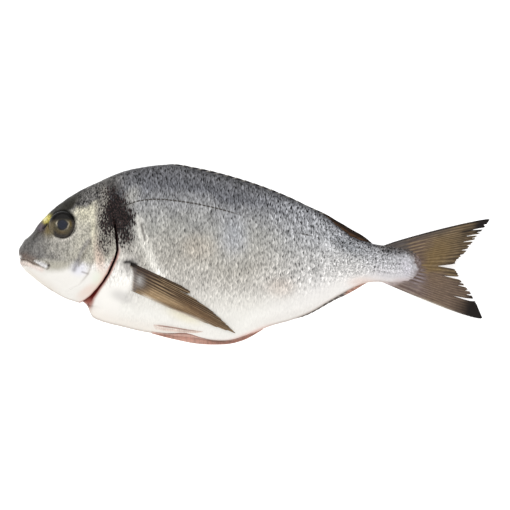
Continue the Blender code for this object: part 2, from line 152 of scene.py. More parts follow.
# The side view in millimetres from the snout: (distance, height), and (distance, half width)
BACK = [
    (0, 9.2), (6, 12.9), (14.5, 22.4), (22.5, 30.4), (31, 37), (43, 44.4), (55, 50.1), (71, 56.8),
    (88, 60.2), (104, 61), (120, 58.3), (145, 52.2), (169, 44.3), (193.5, 33.8), (210, 25), (218, 18.6),
    (226, 13), (234, 9.8), (243, 7.2), (254, 6.2), (266, 4.6), (274, 3),
]
THROAT = [
    (0, -6.8), (6, -12.2), (14.5, -19), (22.5, -24.2), (31, -29), (38, -31.6), (44, -33.2), (56, -35.5),
    (70, -38),
]
HALF_WIDTH = [
    (0, 6.4), (6, 8.4), (15, 11.2), (31, 14.6), (50, 18.8), (70, 21), (95, 21.5), (125, 20.4),
    (155, 17.2), (190, 12.4), (220, 8.2), (245, 5.4), (260, 3.2), (274, 1.7),
]
GILL_EDGE = [
    (57, 51.2), (60.5, 43), (63, 34), (64.6, 22.4), (66, 10.2), (66.4, 3.4), (64.8, -2.5), (62.6, -7.5),
    (60.3, -12.4), (57, -17.6), (53.2, -22.6), (49, -27.2), (45, -30.4), (41.5, -31.6),
]
COVER_THICKNESS = 1.1
SLIT_DEPTH = 4.2
SLIT_TOP, SLIT_FADE = 0.1, 0.45


def ease(t):
    """0 to 1 with a level start and end."""
    t = np.clip(t, 0.0, 1.0)
    return t * t * (3 - 2 * t)


def mix(a, b, t):
    return a + (b - a) * t


def curve_through(stations, x):
    """The smooth curve through a list of (distance, height) stations."""
    xs, ys = np.array(stations, float).T
    slopes = np.gradient(ys, xs)
    i = np.clip(np.searchsorted(xs, x) - 1, 0, len(xs) - 2)
    span = xs[i + 1] - xs[i]
    t = np.clip((x - xs[i]) / span, 0.0, 1.0)
    return (
        ys[i] * (2 * t**3 - 3 * t**2 + 1)
        + slopes[i] * span * (t**3 - 2 * t**2 + t)
        + ys[i + 1] * (3 * t**2 - 2 * t**3)
        + slopes[i + 1] * span * (t**3 - t**2)
    )


def middle_plane(x):
    """Height of the fish's own middle plane, which droops towards the tail."""
    return MIDDLE_HEIGHT - TAIL_DROOP * ease((x - DROOP_START) / (TOTAL_LENGTH - DROOP_START))


def section(x, lower_outline, inset=0.0):
    """(widest level, height above it, depth below it, half width) of the cross-section at x."""
    top, bottom = curve_through(BACK, x), curve_through(lower_outline, x)
    level = mix(bottom, top, WIDEST_LEVEL)
    nose = 1 - np.clip(x / NOSE_ROUNDING, 0, 1)
    end = 1 - np.clip((BODY_LENGTH - x) / TAIL_ROUNDING, 0, 1)
    close = np.sqrt((1 - nose**2) * (1 - end**2))
    above = np.maximum((top - level) * close - inset, 0)
    below = np.maximum((level - bottom) * close - inset, 0)
    return level, above, below, np.maximum(curve_through(HALF_WIDTH, x) * close - inset, 0)


def skin_place(x, angle, lower_outline, inset=0.0):
    """Points of the skin in millimetres. Angle 0 is the upper flank, a quarter turn the back."""
    level, above, below, half_width = section(x, lower_outline, inset)
    up, out = np.sin(angle), np.cos(angle)
    lean = np.where(up > 0, BACK_LEAN, BELLY_LEAN)
    y = level + up * np.where(up > 0, above, below)
    z = middle_plane(x) + half_width * np.sign(out) * np.abs(out) ** lean
    return np.stack([x + 0 * y, y, z], -1)


def gill_edge_table(lower_outline):
    """The gill edge as (share of the height, from -1 at the throat to 1 at the nape, distance)."""
    rows = []
    for x, y in GILL_EDGE:
        level, above, below, _ = section(np.array(float(x)), lower_outline)
        rows.append((float(np.clip((y - level) / (above if y > level else below), -1, 1)), x))
    rows[0], rows[-1] = (1.0, rows[0][1]), (-1.0, rows[-1][1])
    return np.array(sorted(rows)).T


COVER_EDGE = gill_edge_table(THROAT)


def cover_edge_x(angle):
    return np.interp(np.sin(angle), *COVER_EDGE)


def slit_open(angle):
    """1 where the gill cover stands free, 0 on the nape, where it has grown into the trunk."""
    return 1 - ease((np.sin(angle) - SLIT_TOP) / SLIT_FADE)


def way_round():
    """Angles from the keel up to the back, and the share of the way round a tall oval at each."""
    angles = np.linspace(-math.pi / 2, math.pi / 2, OVAL_STEPS + 1)
    steps = np.hypot(OVAL_HEIGHT * np.cos(angles), np.sin(angles))
    run = np.concatenate([[0], np.cumsum((steps[1:] + steps[:-1]) / 2)])
    return angles, run / run[-1]


def even_angle(turn):
    """Spreads a ring's points evenly round the oval, where equal angles would crowd at its ends."""
    angles, shares = way_round()
    folded = np.arctan2(np.sin(turn), np.abs(np.cos(turn)))
    even = np.interp(folded / math.pi + 0.5, shares, angles)
    return np.where(np.cos(turn) >= 0, even, math.pi - even)


def read_points(mesh, what="vertices", field="co"):
    values = np.empty(len(getattr(mesh, what)) * 3)
    getattr(mesh, what).foreach_get(field, values)
    return values.reshape(-1, 3)


def loft(name, segments, rings, place):
    """A sphere whose ring i is moved to place(rings[i], angles). Returns mesh, ring numbers, angles."""
    shape = bmesh.new()
    bmesh.ops.create_uvsphere(shape, u_segments=segments, v_segments=len(rings) - 1, radius=1)
    mesh = bpy.data.meshes.new(name)
    shape.to_mesh(mesh)
    shape.free()
    unit = read_points(mesh)
    ring_of = np.rint(np.arccos(np.clip(unit[:, 2], -1, 1)) / math.pi * (len(rings) - 1)).astype(int)
    angle_of = even_angle(np.arctan2(unit[:, 1], unit[:, 0]))
    points = np.empty_like(unit)
    order = np.argsort(ring_of, kind="stable")
    starts = np.searchsorted(ring_of[order], np.arange(len(rings) + 1))
    for i, ring in enumerate(rings):
        chosen = order[starts[i]:starts[i + 1]]
        points[chosen] = place(ring, angle_of[chosen])
    set_points(mesh, points)
    return mesh, ring_of, angle_of


def set_points(mesh, points):
    """Puts points given in millimetres from the snout into the mesh, none of them under the table."""
    placed = points * MM + np.array((SNOUT_X, DATUM_Y, 0.0))
    placed[:, 2] = np.maximum(placed[:, 2], 0.0)
    mesh.vertices.foreach_set("co", placed.ravel())
    mesh.update()


def points_of(mesh):
    """The mesh's points in millimetres from the snout."""
    return (read_points(mesh) - np.array((SNOUT_X, DATUM_Y, 0))) / MM


def raise_skin(mesh, points, height):
    """Moves each point by its height in millimetres along the skin's normal, and none into the table."""
    normals = read_points(mesh, "vertex_normals", "vector")
    lifted = points + normals * height[:, None]
    lifted[:, 2] = np.maximum(lifted[:, 2], SKIN_CLEARANCE)
    set_points(mesh, lifted)


def near_line(x, y, line):
    """Distance in millimetres of points of the side view from a line of straight stretches."""
    best = np.full(len(x), 1e9)
    for (ax, ay), (bx, by) in zip(line, line[1:]):
        dx, dy = bx - ax, by - ay
        t = np.clip(((x - ax) * dx + (y - ay) * dy) / (dx * dx + dy * dy), 0, 1)
        best = np.minimum(best, np.hypot(x - ax - t * dx, y - ay - t * dy))
    return best


def bell(distance, width):
    return np.exp(-((distance / width) ** 2))


def patch(x, y, place, radii, turn=0.0):
    """1 in the middle of a soft oval patch of the side view, about 0 one radius and a half out."""
    c, s = math.cos(math.radians(turn)), math.sin(math.radians(turn))
    dx, dy = x - place[0], y - place[1]
    along, across = dx * c + dy * s, dy * c - dx * s
    return np.exp(-((along / radii[0]) ** 2 + (across / radii[1]) ** 2) ** 1.5)


def tone(red, green, blue):
    """A colour as a screen shows it, made linear."""
    shown = (red, green, blue)
    return np.array([((c / 255 + 0.055) / 1.055) ** 2.4 if c > 10 else c / 3294.6 for c in shown])


def lay(paint, colour, mask):
    return paint + (colour - paint) * np.clip(mask, 0, 1)[:, None]


def lay_patches(paint, x, y, patches):
    """Lays soft ovals one over the other: (colour, strength, place, radii, turn in degrees)."""
    for colour, strength, place, radii, turn in patches:
        paint = lay(paint, colour, strength * patch(x, y, place, radii, turn))
    return paint


def lay_lines(paint, x, y, strokes):
    """Lays soft strokes one over the other: (colour, strength, line, width)."""
    for colour, strength, line, width in strokes:
        paint = lay(paint, colour, strength * bell(near_line(x, y, line), width))
    return paint


def vary(paint, change):
    """Makes the paint lighter or darker by a share of its own."""
    return paint * (1 + change)[:, None]


LATTICE_SIZE = 32
LATTICE = np.random.default_rng(7).uniform(-1, 1, (LATTICE_SIZE, LATTICE_SIZE, LATTICE_SIZE))


def mottle(points, size, seed=0, squeeze=(1, 1, 1)):
    """Smooth noise from about -1 to 1, with lumps of the given size in millimetres."""
    places = points * np.array(squeeze) / size + seed * 5.37
    cell = np.floor(places).astype(int)
    t = places - cell
    t = t * t * (3 - 2 * t)
    total = np.zeros(len(points))
    for corner in range(8):
        step = np.array([corner >> 2 & 1, corner >> 1 & 1, corner & 1])
        weight = np.prod(np.where(step == 1, t, 1 - t), axis=1)
        total += weight * LATTICE[tuple(((cell + step) % LATTICE_SIZE).T)]
    return total


def set_paint(mesh, name, colours):
    layer = mesh.attributes.new(name, "FLOAT_COLOR", "POINT")
    layer.data.foreach_set("color", np.column_stack([colours, np.ones(len(colours))]).ravel())


def set_mask(mesh, name, values):
    layer = mesh.attributes.new(name, "FLOAT", "POINT")
    layer.data.foreach_set("value", np.asarray(values, float).ravel())


HEAD_RINGS, HEAD_SEGMENTS = 150, 400
SNOUT_CROWDING = 1.25
MOUTH_LINE = [(-2, -2.9), (5.8, -3.5), (9.5, -5.6), (14.3, -7.5), (17.5, -8.8)]
UPPER_LIP = [(-2, -0.6), (5.5, -1.2), (10.5, -3.6)]
LOWER_LIP = [(-2, -5.4), (6, -5.8), (11, -8), (16, -10)]
BLADE = [(11.5, -3.9), (18.8, -7.4)]
NOSTRIL = [(19.4, 20.9), (17, 18.2)]
FRONT_NOSTRIL = (14.2, 16.8)
CHEEK_EDGE = [(52.6, 35), (53.4, 20), (53, 6), (51, -4), (47.5, -13), (42, -20), (33, -25)]
CHEEK_FOLD = [(50, 11), (46.5, 3), (41.5, -6.8)]
CHEEK_CREASE = [(47.6, 9.5), (43.6, 3.4), (40.2, -4.8), (38.1, -10.2)]
CHEEK_NICK = [(43.6, -11.4), (47.4, -12.6)]
JAW_FOLD = [(17, -10.5), (26, -17.5), (36, -24), (42, -26)]
SNOUT_DIP = [(0.5, 9), (8, 16)]
EYE_RIM, EYE_SOCKET = 8.6, 2.0
HEAD_CORE = np.array((46.0, 4.0, MIDDLE_HEIGHT))
# Soft hollows of the casing: line, depth and width in millimetres
HOLLOWS = [(CHEEK_FOLD, 0.3, 0.8), (CHEEK_CREASE, 0.3, 1.4), (JAW_FOLD, 0.12, 1.2), (SNOUT_DIP, 1.0, 5.0)]

# Rings of the loft: part, share of the way to the gill edge, and depth under the skin
cover_rings = [("skin", (i / HEAD_RINGS) ** SNOUT_CROWDING, 0.0) for i in range(HEAD_RINGS + 1)]
cover_rings += [("skin", 1.004, 0.15), ("skin", 1.005, 0.45), ("skin", 1.0, COVER_THICKNESS)]
cover_rings += [("skin", 0.96, COVER_THICKNESS + SLIT_DEPTH), ("core", 0.5, 0), ("core", 1.0, 0)]


def head_place(ring, angle):
    kind, share, inset = ring
    edge = cover_edge_x(angle)
    if kind == "skin":
        return skin_place(share * edge, angle, THROAT, inset)
    rim = skin_place(0.94 * edge, angle, THROAT, COVER_THICKNESS + SLIT_DEPTH)
    return mix(rim, HEAD_CORE, share)


def from_eye(x, y):
    """Distance in millimetres from the middle of the eye."""
    return np.hypot(x - EYE_PLACE[0] / MM, y - EYE_PLACE[1] / MM)


def from_blade(x, y):
    """Distance in millimetres from the rim of the blade at the mouth's corner, negative on it."""
    return near_line(x, y, BLADE) - mix(0.2, 1.5, ease((x - 10) / 7))


def head_relief(x, y):
    """Height of the head's relief over the smooth casing, in millimetres."""
    eye = from_eye(x, y)
    height = -EYE_SOCKET * (1 - ease((eye - EYE_RIM + 0.3) / 0.9)) + 0.3 * bell(eye - EYE_RIM - 1.8, 1.2)
    mouth = near_line(x, y, MOUTH_LINE)
    height -= 1.1 * bell(mouth, 0.6) * (1 - 0.5 * ease((x - 8) / 10))
    height += 0.55 * bell(near_line(x, y, UPPER_LIP), 1.5) + 0.6 * bell(near_line(x, y, LOWER_LIP), 1.5)
    blade = from_blade(x, y)
    height += 0.75 * (1 - ease((blade + 0.2) / 0.9)) - 0.35 * bell(blade - 1.1, 0.5)
    height -= 1.0 * bell(near_line(x, y, NOSTRIL), 0.6)
    height -= 0.6 * bell(np.hypot(x - FRONT_NOSTRIL[0], y - FRONT_NOSTRIL[1]), 0.6)
    cheek_rim = 0.45 * bell(near_line(x + 1.4, y, CHEEK_EDGE), 1.6)
    height += cheek_rim - 0.5 * bell(near_line(x, y, CHEEK_EDGE), 0.7)
    for line, depth, width in HOLLOWS:
        height -= depth * bell(near_line(x, y, line), width)
    return height


head_mesh, head_ring, head_angle = loft("head_skin", HEAD_SEGMENTS, cover_rings, head_place)
head_points = points_of(head_mesh)
outer_skin = head_ring <= HEAD_RINGS + 1
hx, hy = head_points[:, 0], head_points[:, 1]
head_lump = mottle(head_points, 14.0, 3)
relief = (head_relief(hx, hy) + 0.12 * mottle(head_points, 3.0) + 0.2 * head_lump) * outer_skin
relief *= ease(hx / 1.2)
raise_skin(head_mesh, head_points, relief)

# Colours of the head, from the dark forehead and grey snout to the white jaw
DARK_TOP = tone(40, 38, 32)
NAPE_GREY = tone(100, 98, 96)
SNOUT_GREY = tone(100, 99, 96)
CHEEK_SILVER = tone(180, 176, 163)
TEMPLE_CREAM = tone(204, 199, 178)
JAW_WHITE = tone(240, 237, 231)
LIP_PINK = tone(230, 214, 206)
LIP_BROWN = tone(104, 89, 81)
GOLD = tone(226, 212, 110)
EYE_OLIVE = tone(112, 98, 62)
COVER_PINK = tone(228, 200, 184)
PALE_LILAC = tone(228, 228, 240)
PALE_GREEN = tone(226, 234, 214)
GILL_RED = tone(104, 30, 26)
GILL_DARK = tone(30, 12, 12)
BLOTCH_BLACK = tone(6, 4, 4)
BLOTCH_BROWN = tone(64, 48, 46)

# The dark blotch across the top of the gill slit: (x, y), radii, strength
BLOTCH = [
    ((66.5, 28.5), (8.6, 13.5), 1.7), ((70.5, 24.0), (9.2, 11.5), 1.35), ((72.6, 13.5), (7.6, 9.6), 0.92),
    ((61.0, 24.0), (6.6, 14.5), 1.05),
    ((63.5, 41.0), (6.4, 8.5), 0.85), ((59.0, 8.5), (5.4, 9.0), 0.6), ((74.5, 5.0), (5.0, 5.5), 0.5),
]


def blotch_mask(x, y):
    mask = np.zeros(len(x))
    for place, radii, strength in BLOTCH:
        across, up = (x - place[0]) / radii[0], (y - place[1]) / radii[1]
        mask = np.maximum(mask, strength * np.exp(-((across**2 + up**2) ** 1.15)))
    return mask


def lay_grounds(paint, x, y, points, ragged):
    """The broad tones: white jaw, grey snout, cream temple, grey nape and dark forehead."""
    from_back = curve_through(BACK, x) - y
    jaw = ease((-y - 8.5 + 0.16 * (x - 16) + 0.6 * ragged) / 7) * ease((x - 4) / 6)
    paint = lay(paint, JAW_WHITE, jaw)
    paint = lay(paint, JAW_WHITE, ease((-y - 6.2) / 2.5) * (1 - ease((x - 14) / 8)))
    snout = (1 - ease((x - 15 + 0.35 * y + ragged) / 12)) * ease((y + 3.4) / 2.2)
    paint = lay(paint, SNOUT_GREY, snout)
    before_eye = 1 - ease((x - 27 + 1.5 * ragged) / 18)
    paint = lay(paint, tone(138, 135, 132), 0.6 * before_eye * ease((y + 6.5) / 4))
    streaky = mottle(points, 1.7, 15, (1, 0.35, 0.35))
    paint = vary(paint, 0.25 * streaky * (1 - ease((x - 20) / 16)) * ease((y + 4) / 3))
    paint = lay_patches(paint, x, y, [
        (TEMPLE_CREAM, 1, (46, 30), (9, 8), 24),
        (TEMPLE_CREAM, 1, (52.2, 18), (2.6, 17), 0),
    ])
    paint = lay(paint, NAPE_GREY, 1 - ease((from_back - 10 + 1.4 * ragged) / 7))
    dark_depth = 2.0 + 7.5 * bell(x - 28, 13)
    dark_top = (1 - ease((from_back - dark_depth + ragged) / 6)) * ease((x - 3) / 14)
    paint = lay(paint, DARK_TOP, dark_top * (1 - 0.7 * ease((x - 36) / 12)))
    return vary(paint, nape_specks(points) * ease((x - 32) / 12) * (1 - ease((from_back - 12) / 8)))


def nape_specks(points):
    return 0.6 * mottle(points, 1.3, 17, (1, 0.6, 0.6))


def lay_cheek(paint, x, y):
    """Faint pink, lilac and green on the cheek and gill cover, and the lines between their plates."""
    paint = lay_patches(paint, x, y, [
        (COVER_PINK, 0.6, (55.5, -2), (3.4, 13), 8),
        (COVER_PINK, 0.5, (47, -24), (9, 3), 36),
        (PALE_LILAC, 0.7, (41.5, -9.5), (6, 5), 0),
        (PALE_GREEN, 0.5, (54, -16), (4, 5), 0),
    ])
    paint = lay_lines(paint, x, y, [
        (tone(128, 122, 112), 0.6, CHEEK_FOLD, 1.0),
        (tone(104, 100, 104), 0.6, CHEEK_CREASE, 1.5),
        (tone(120, 112, 112), 0.6, CHEEK_NICK, 0.6),
    ])
    plate_edge = 0.5 * bell(near_line(x, y, CHEEK_EDGE), 0.7) * ease((y + 22) / 10)
    return lay(paint, tone(158, 150, 140), plate_edge)


def lay_round_eye(paint, x, y, points):
    """Painted shade under the brow, the lower lid, the golden spot between the eyes with a painted highlight,
    and the nostrils.
    """
    eye = from_eye(x, y)
    paint = lay(paint, EYE_OLIVE, 0.85 * patch(x, y, (21.6, 18.0), (5.6, 6.0)))
    # Painted shade over the eye, under the brow.
    brow_shade = (1 - ease((eye - EYE_RIM - 0.4) / 2.8)) * ease((y - 21) / 5)
    paint = lay(paint, tone(12, 10, 8), brow_shade)
    lid = 0.7 * (1 - ease((eye - EYE_RIM - 0.2) / 1.4)) * ease((21 - y) / 4) * ease((x - 24) / 5)
    paint = lay(paint, tone(96, 92, 88), lid)
    pale_lid = 0.5 * bell(eye - EYE_RIM - 1.5, 1.0) * ease((19 - y) / 8) * ease((x - 22) / 6)
    paint = lay(paint, tone(222, 216, 206), pale_lid)
    golden = patch(x, y, (19.2, 24.6), (3.6, 3.0), 50)
    paint = lay(paint, GOLD, golden * (0.75 + 0.35 * mottle(points, 0.9, 5)))
    # The small pale oval in the golden spot is a painted highlight.
    paint = lay_patches(paint, x, y, [
        (tone(236, 230, 176), 0.7, (18.2, 24.4), (1.6, 1.2), 50),
        (tone(92, 82, 92), 0.75, (15.5, 18.8), (3.0, 3.4), 45),
    ])
    return lay(paint, tone(30, 24, 28), bell(near_line(x, y, NOSTRIL), 0.9))


def lay_mouth(paint, x, y):
    """Brown upper lip, pink lower lip, the pale blade at the mouth's corner and the dark cleft."""
    over_mouth = ease((y - curve_through(MOUTH_LINE, x)) / 0.8)
    paint = lay(paint, LIP_BROWN, 0.8 * bell(near_line(x, y, UPPER_LIP), 2.8) * over_mouth)
    paint = lay(paint, LIP_PINK, 0.8 * bell(near_line(x, y, LOWER_LIP), 1.6))
    paint = lay(paint, tone(246, 244, 240), bell(np.hypot(x - 1.2, y + 1.1), 1.0))
    blade = from_blade(x, y)
    paint = lay(paint, tone(190, 187, 184), 0.85 * (1 - ease((blade + 0.2) / 1.1)))
    paint = lay(paint, tone(232, 230, 230), 0.85 * (1 - ease((blade + 1.0) / 0.9)))
    paint = lay(paint, tone(96, 82, 74), 0.6 * bell(blade - 0.8, 0.5) * ease((x - 18.4) / 1.6))
    cleft = 0.85 * bell(near_line(x, y, MOUTH_LINE), 0.6) * (1 - 0.6 * ease((x - 10) / 7))
    paint = lay(paint, tone(104, 84, 74), cleft)
    return lay(paint, tone(52, 46, 46), bell(np.hypot(x - 20.9, y + 7), 0.9))


def lay_lining(paint, y, mask):
    """The inside of the gill slit, red at the throat and dark further up."""
    paint = lay(paint, GILL_RED, mask)
    return lay(paint, GILL_DARK, mask * ease((y + 30) / 20))


def lay_gill_edge(paint, x, y, angle, outer):
    """The red rim of the gill cover, its pale border, the cream throat, and a painted shade line along its
    keel.
    """
    to_edge = cover_edge_x(angle) - x
    paint = lay(paint, tone(150, 60, 50), 0.8 * bell(to_edge, 0.8) * ease((2 - y) / 8) * outer)
    paint = lay(paint, tone(226, 196, 178), 0.4 * bell(to_edge, 3.2) * ease((-4 - y) / 8) * outer)
    above_throat = y - curve_through(THROAT, x)
    cream = 0.7 * bell(above_throat, 4.5) * ease((x - 2) / 6) * (1 - ease((x - 20) / 16))
    paint = lay(paint, tone(226, 217, 205), cream)
    # A darker line along the throat's keel, painted as shade along the lower outline.
    paint = lay(paint, tone(150, 132, 120), 0.6 * bell(above_throat, 0.9) * ease((x - 10) / 12))
    return lay_lining(paint, y, np.where(outer, 0, 1) * ease(slit_open(angle) / 0.5))


def head_paint(points, angle, outer, lump):
    x, y = points[:, 0], points[:, 1]
    ragged = 2.2 * mottle(points, 3.2, 7) + 2.0 * lump
    paint = np.tile(CHEEK_SILVER, (len(x), 1))
    paint = lay_grounds(paint, x, y, points, ragged)
    paint = lay_cheek(paint, x, y)
    paint = lay_round_eye(paint, x, y, points)
    paint = lay_mouth(paint, x, y)
    paint = lay(paint, tone(126, 122, 116), 0.75 * ease(blotch_mask(x, y) / 0.4))
    return lay_gill_edge(paint, x, y, angle, outer)


set_paint(head_mesh, "paint", head_paint(head_points, head_angle, outer_skin, head_lump))
set_mask(head_mesh, "blotch", blotch_mask(hx, hy))
speckle = outer_skin * ease((hy + 12 + 4 * head_lump) / 11) * (0.85 + 0.15 * ease((hx - 14) / 14))
nape = ease((hx - 33) / 12) * (1 - ease((curve_through(BACK, hx) - hy - 8) / 10))
set_mask(head_mesh, "speckle", speckle * (1 + 1.1 * nape))


def link(tree, source, target):
    tree.links.new(source, target)


def calc(tree, operation, *values):
    """A Math node. Each value is a number or another node's output."""
    node = tree.nodes.new("ShaderNodeMath")
    node.operation = operation
    for place, value in zip(node.inputs, values):
        if isinstance(value, (int, float)):
            place.default_value = value
        else:
            link(tree, value, place)
    return node.outputs[0]


def plus(tree, first, second):
    return calc(tree, "ADD", first, second)


def minus(tree, first, second):
    return calc(tree, "SUBTRACT", first, second)


def times(tree, first, second):
    return calc(tree, "MULTIPLY", first, second)


def blend_colour(tree, kind, factor, first, second):
    node = tree.nodes.new("ShaderNodeMix")
    node.data_type = "RGBA"
    node.blend_type = kind
    node.clamp_factor = True
    colours = [place for place in node.inputs if place.type == "RGBA"]
    for place, value in zip((node.inputs[0], *colours), (factor, first, second)):
        if hasattr(value, "links"):
            link(tree, value, place)
        else:
            place.default_value = value if isinstance(value, (int, float)) else (*value, 1.0)
    return [out for out in node.outputs if out.type == "RGBA"][0]


def attribute(tree, name, output="Fac"):
    node = tree.nodes.new("ShaderNodeAttribute")
    node.attribute_name = name
    return node.outputs[output]


def noise(tree, place, scale, detail=2.0, offset=(0, 0, 0)):
    """Noise over the given coordinates, scaled along each axis."""
    stretched = tree.nodes.new("ShaderNodeMapping")
    stretched.inputs["Location"].default_value = offset
    stretched.inputs["Scale"].default_value = scale
    link(tree, place, stretched.inputs["Vector"])
    texture = tree.nodes.new("ShaderNodeTexNoise")
    texture.inputs["Scale"].default_value = 1.0
    texture.inputs["Detail"].default_value = detail
    link(tree, stretched.outputs["Vector"], texture.inputs["Vector"])
    return texture.outputs["Fac"]


def grain(tree, size, stretch=(1, 1, 1), detail=2.0, offset=(0, 0, 0)):
    """Noise through the fish, with lumps of the given size in millimetres, stretched along the axes."""
    place = tree.nodes.new("ShaderNodeTexCoord").outputs["Object"]
    return noise(tree, place, [1 / (size * MM * s) for s in stretch], detail, offset)


def grey(tree, value):
    node = tree.nodes.new("ShaderNodeCombineColor")
    for place in node.inputs[:3]:
        link(tree, value, place)
    return node.outputs[0]


def shaded_paint(tree, shade):
    """The colours laid on the mesh, times a shade."""
    return blend_colour(tree, "MULTIPLY", 1.0, attribute(tree, "paint", "Color"), grey(tree, shade))


def span(tree, value, low, high, to_low=0.0, to_high=1.0, smooth=False):
    node = tree.nodes.new("ShaderNodeMapRange")
    node.interpolation_type = "SMOOTHSTEP" if smooth else "LINEAR"
    for place, given in zip(node.inputs, (value, low, high, to_low, to_high)):
        if isinstance(given, (int, float)):
            place.default_value = given
        else:
            link(tree, given, place)
    return node.outputs["Result"]


def bump(tree, height, strength, distance):
    """The normal of a fine relief whose depth is given in millimetres."""
    node = tree.nodes.new("ShaderNodeBump")
    node.inputs["Strength"].default_value = strength
    node.inputs["Distance"].default_value = distance * MM
    link(tree, height, node.inputs["Height"])
    return node.outputs["Normal"]


def wet_finish(shader):
    """A thin film of water over the skin."""
    shader.inputs["Coat Weight"].default_value = 0.06
    shader.inputs["Coat Roughness"].default_value = 0.22
    shader.inputs["Specular IOR Level"].default_value = 0.08


def lay_blotch(tree, painted, uneven):
    """The dark blotch over the painted skin: black to brown, its soft edge broken up into dashes."""
    mask = attribute(tree, "blotch")
    near = span(tree, mask, 0.02, 0.3)
    broken = plus(tree, mask, times(tree, uneven, near))
    flecks = grain(tree, 0.7, (1, 1.8, 1.8), detail=1.5, offset=(11, 11, 11))
    ink = blend_colour(tree, "MIX", span(tree, flecks, 0.48, 0.68), BLOTCH_BLACK, BLOTCH_BROWN)
    return blend_colour(tree, "MIX", span(tree, broken, 0.22, 0.92, smooth=True), painted, ink)


def head_material():
    material, tree, shader = new_material("head_skin")
    fine = grain(tree, 0.66, (1, 2.3, 2.3), detail=1.5)
    coarse = grain(tree, 2.4, (1, 2.4, 2.4), detail=1.0, offset=(5, 5, 5))
    freckle = span(tree, plus(tree, fine, times(tree, coarse, 0.5)), 0.55, 0.95, 0.4, -0.5)
    shade = plus(tree, 1.0, times(tree, freckle, attribute(tree, "speckle")))
    colour = lay_blotch(tree, shaded_paint(tree, shade), span(tree, fine, 0.3, 0.7, -0.55, 0.55))
    link(tree, colour, shader.inputs["Base Color"])
    link(tree, span(tree, coarse, 0.3, 0.7, 0.34, 0.5), shader.inputs["Roughness"])
    link(tree, bump(tree, fine, 0.35, 0.25), shader.inputs["Normal"])
    wet_finish(shader)
    return material


def place_piece(name, mesh, material, nodes=("fish",)):
    piece = put_object(name, mesh)
    mesh.materials.append(material)
    mesh.shade_smooth()
    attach(piece, "root")
    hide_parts(*nodes)


place_piece("head_skin", head_mesh, head_material())

# The trunk: scaled skin from the shoulder to the root of the tail. The real skin has about 75
# columns of scales and 25 rows on each flank at the deepest place, lapped like roof tiles with
# their free edges to the tail. Each scale spans a few points of the mesh and is true relief.
SCALE_COLUMNS = 75
RINGS_PER_COLUMN = 4
TRUNK_SEGMENTS = 300
FIRST_COLUMN_X = 66.0
FRONT_ROW, REAR_ROW = 4.4, 2.5
SCALE_LIFT = 0.11
SCALE_BULGE = 0.42
MAP_COLUMNS, MAP_ROWS = 100.0, 60.0
BELLY = [
    (30, -29), (40, -31.4), (45, -32.8), (47, -35.2), (48, -38), (49.4, -41), (52, -43.1), (55, -44.3),
    (71, -48.6), (88, -52.5), (104, -54.6), (120, -56.4), (135, -58.4), (143, -58.4), (154, -55.2),
    (169, -48.6), (185, -44), (201, -37.3), (211, -31.4), (219, -26.8), (227, -22.6), (235, -19.4),
    (242, -18.4), (254, -19.4), (266, -17.8), (274, -16),
]
LATERAL_LINE = [
    (73, 33.4), (80, 36), (87.7, 37.3), (97, 37.6), (106, 36.7), (126.4, 33.3), (143.3, 29.2), (150.1, 27.1),
    (163.7, 23.1), (180.7, 17), (199, 12.9), (218, 8.1), (238.4, 3.6), (262, 0.2),
]
SHOULDER_BAND = [(80, 25), (83, 16), (87.5, 5), (92, -6), (96, -14)]
SHOULDER_STREAK = [(83.6, 21), (84.8, 15), (86.2, 10)]
# Line of painted shadow in the pit over the pectoral fin's root.
FIN_PIT_SHADOW = [(72.4, -4.9), (75.5, -4.6), (80, -6.4)]
SCALES_END = 262
TRUNK_CORE = np.array((40.0, 4.0, MIDDLE_HEIGHT))
NAPE_STEP = 0.3
SLIT_RINGS = 13
SLIT_REACH = 5.0
SLIT_OPEN = 2.4
SHOULDER_RISE = 13.0
SHOULDER_EDGE = gill_edge_table(BELLY)

# Rings of the loft: part, and a share of the way or a distance from the slit's edge
trunk_rings = [("core", 0.0), ("core", 0.5)]
trunk_rings += [("slit", place) for place in np.linspace(-SLIT_REACH, SLIT_OPEN, SLIT_RINGS)]
first_flank_ring = len(trunk_rings)
flank_steps = SCALE_COLUMNS * RINGS_PER_COLUMN
trunk_rings += [("flank", (i + 0.5) / (flank_steps + 0.5)) for i in range(flank_steps + 1)]


def shoulder_edge_x(angle):
    return np.interp(np.sin(angle), *SHOULDER_EDGE)


def behind_cover(x, angle, inset):
    """A point of the shoulder, which rises from the level of the gill cover to its own width."""
    point = skin_place(x, angle, BELLY, inset)
    level, above, below, half_width = section(x, THROAT, inset)
    up = (point[:, 1] - level) / np.maximum(np.where(point[:, 1] > level, above, below), 1e-6)
    lean = np.where(up > 0, BACK_LEAN, BELLY_LEAN)
    under = half_width * np.sqrt(1 - np.clip(up, -1, 1) ** 2) ** lean
    own = point[:, 2] - middle_plane(x)
    risen = ease((x - shoulder_edge_x(angle)) / SHOULDER_RISE)
    point[:, 2] = middle_plane(x) + np.sign(own) * np.minimum(np.abs(own), mix(under, np.abs(own), risen))
    return point


def trunk_place(ring, angle):
    kind, place = ring
    edge = shoulder_edge_x(angle)
    open_slit = slit_open(angle)
    depth = mix(NAPE_STEP, SLIT_DEPTH, open_slit)
    if kind == "core":
        start = behind_cover(edge - SLIT_REACH, angle, 1.2 * depth)
        return mix(TRUNK_CORE, start, place)
    if kind == "slit":
        rise = mix(ease((place + 1.6) / 1.3), ease((place + 0.1) / (SLIT_OPEN + 0.1)), open_slit)
        return behind_cover(edge + place, angle, depth * (1 - rise))
    return behind_cover(mix(edge + SLIT_OPEN, BODY_LENGTH, place), angle, 0.0)


def flank_share(angle):
    """0 on the back and 1 on the belly, even along the skin, and the flank: 1 left, -1 right."""
    angles, shares = way_round()
    folded = np.arctan2(np.sin(angle), np.abs(np.cos(angle)))
    return 1 - np.interp(folded, angles, shares), np.where(np.cos(angle) >= 0, 1, -1)


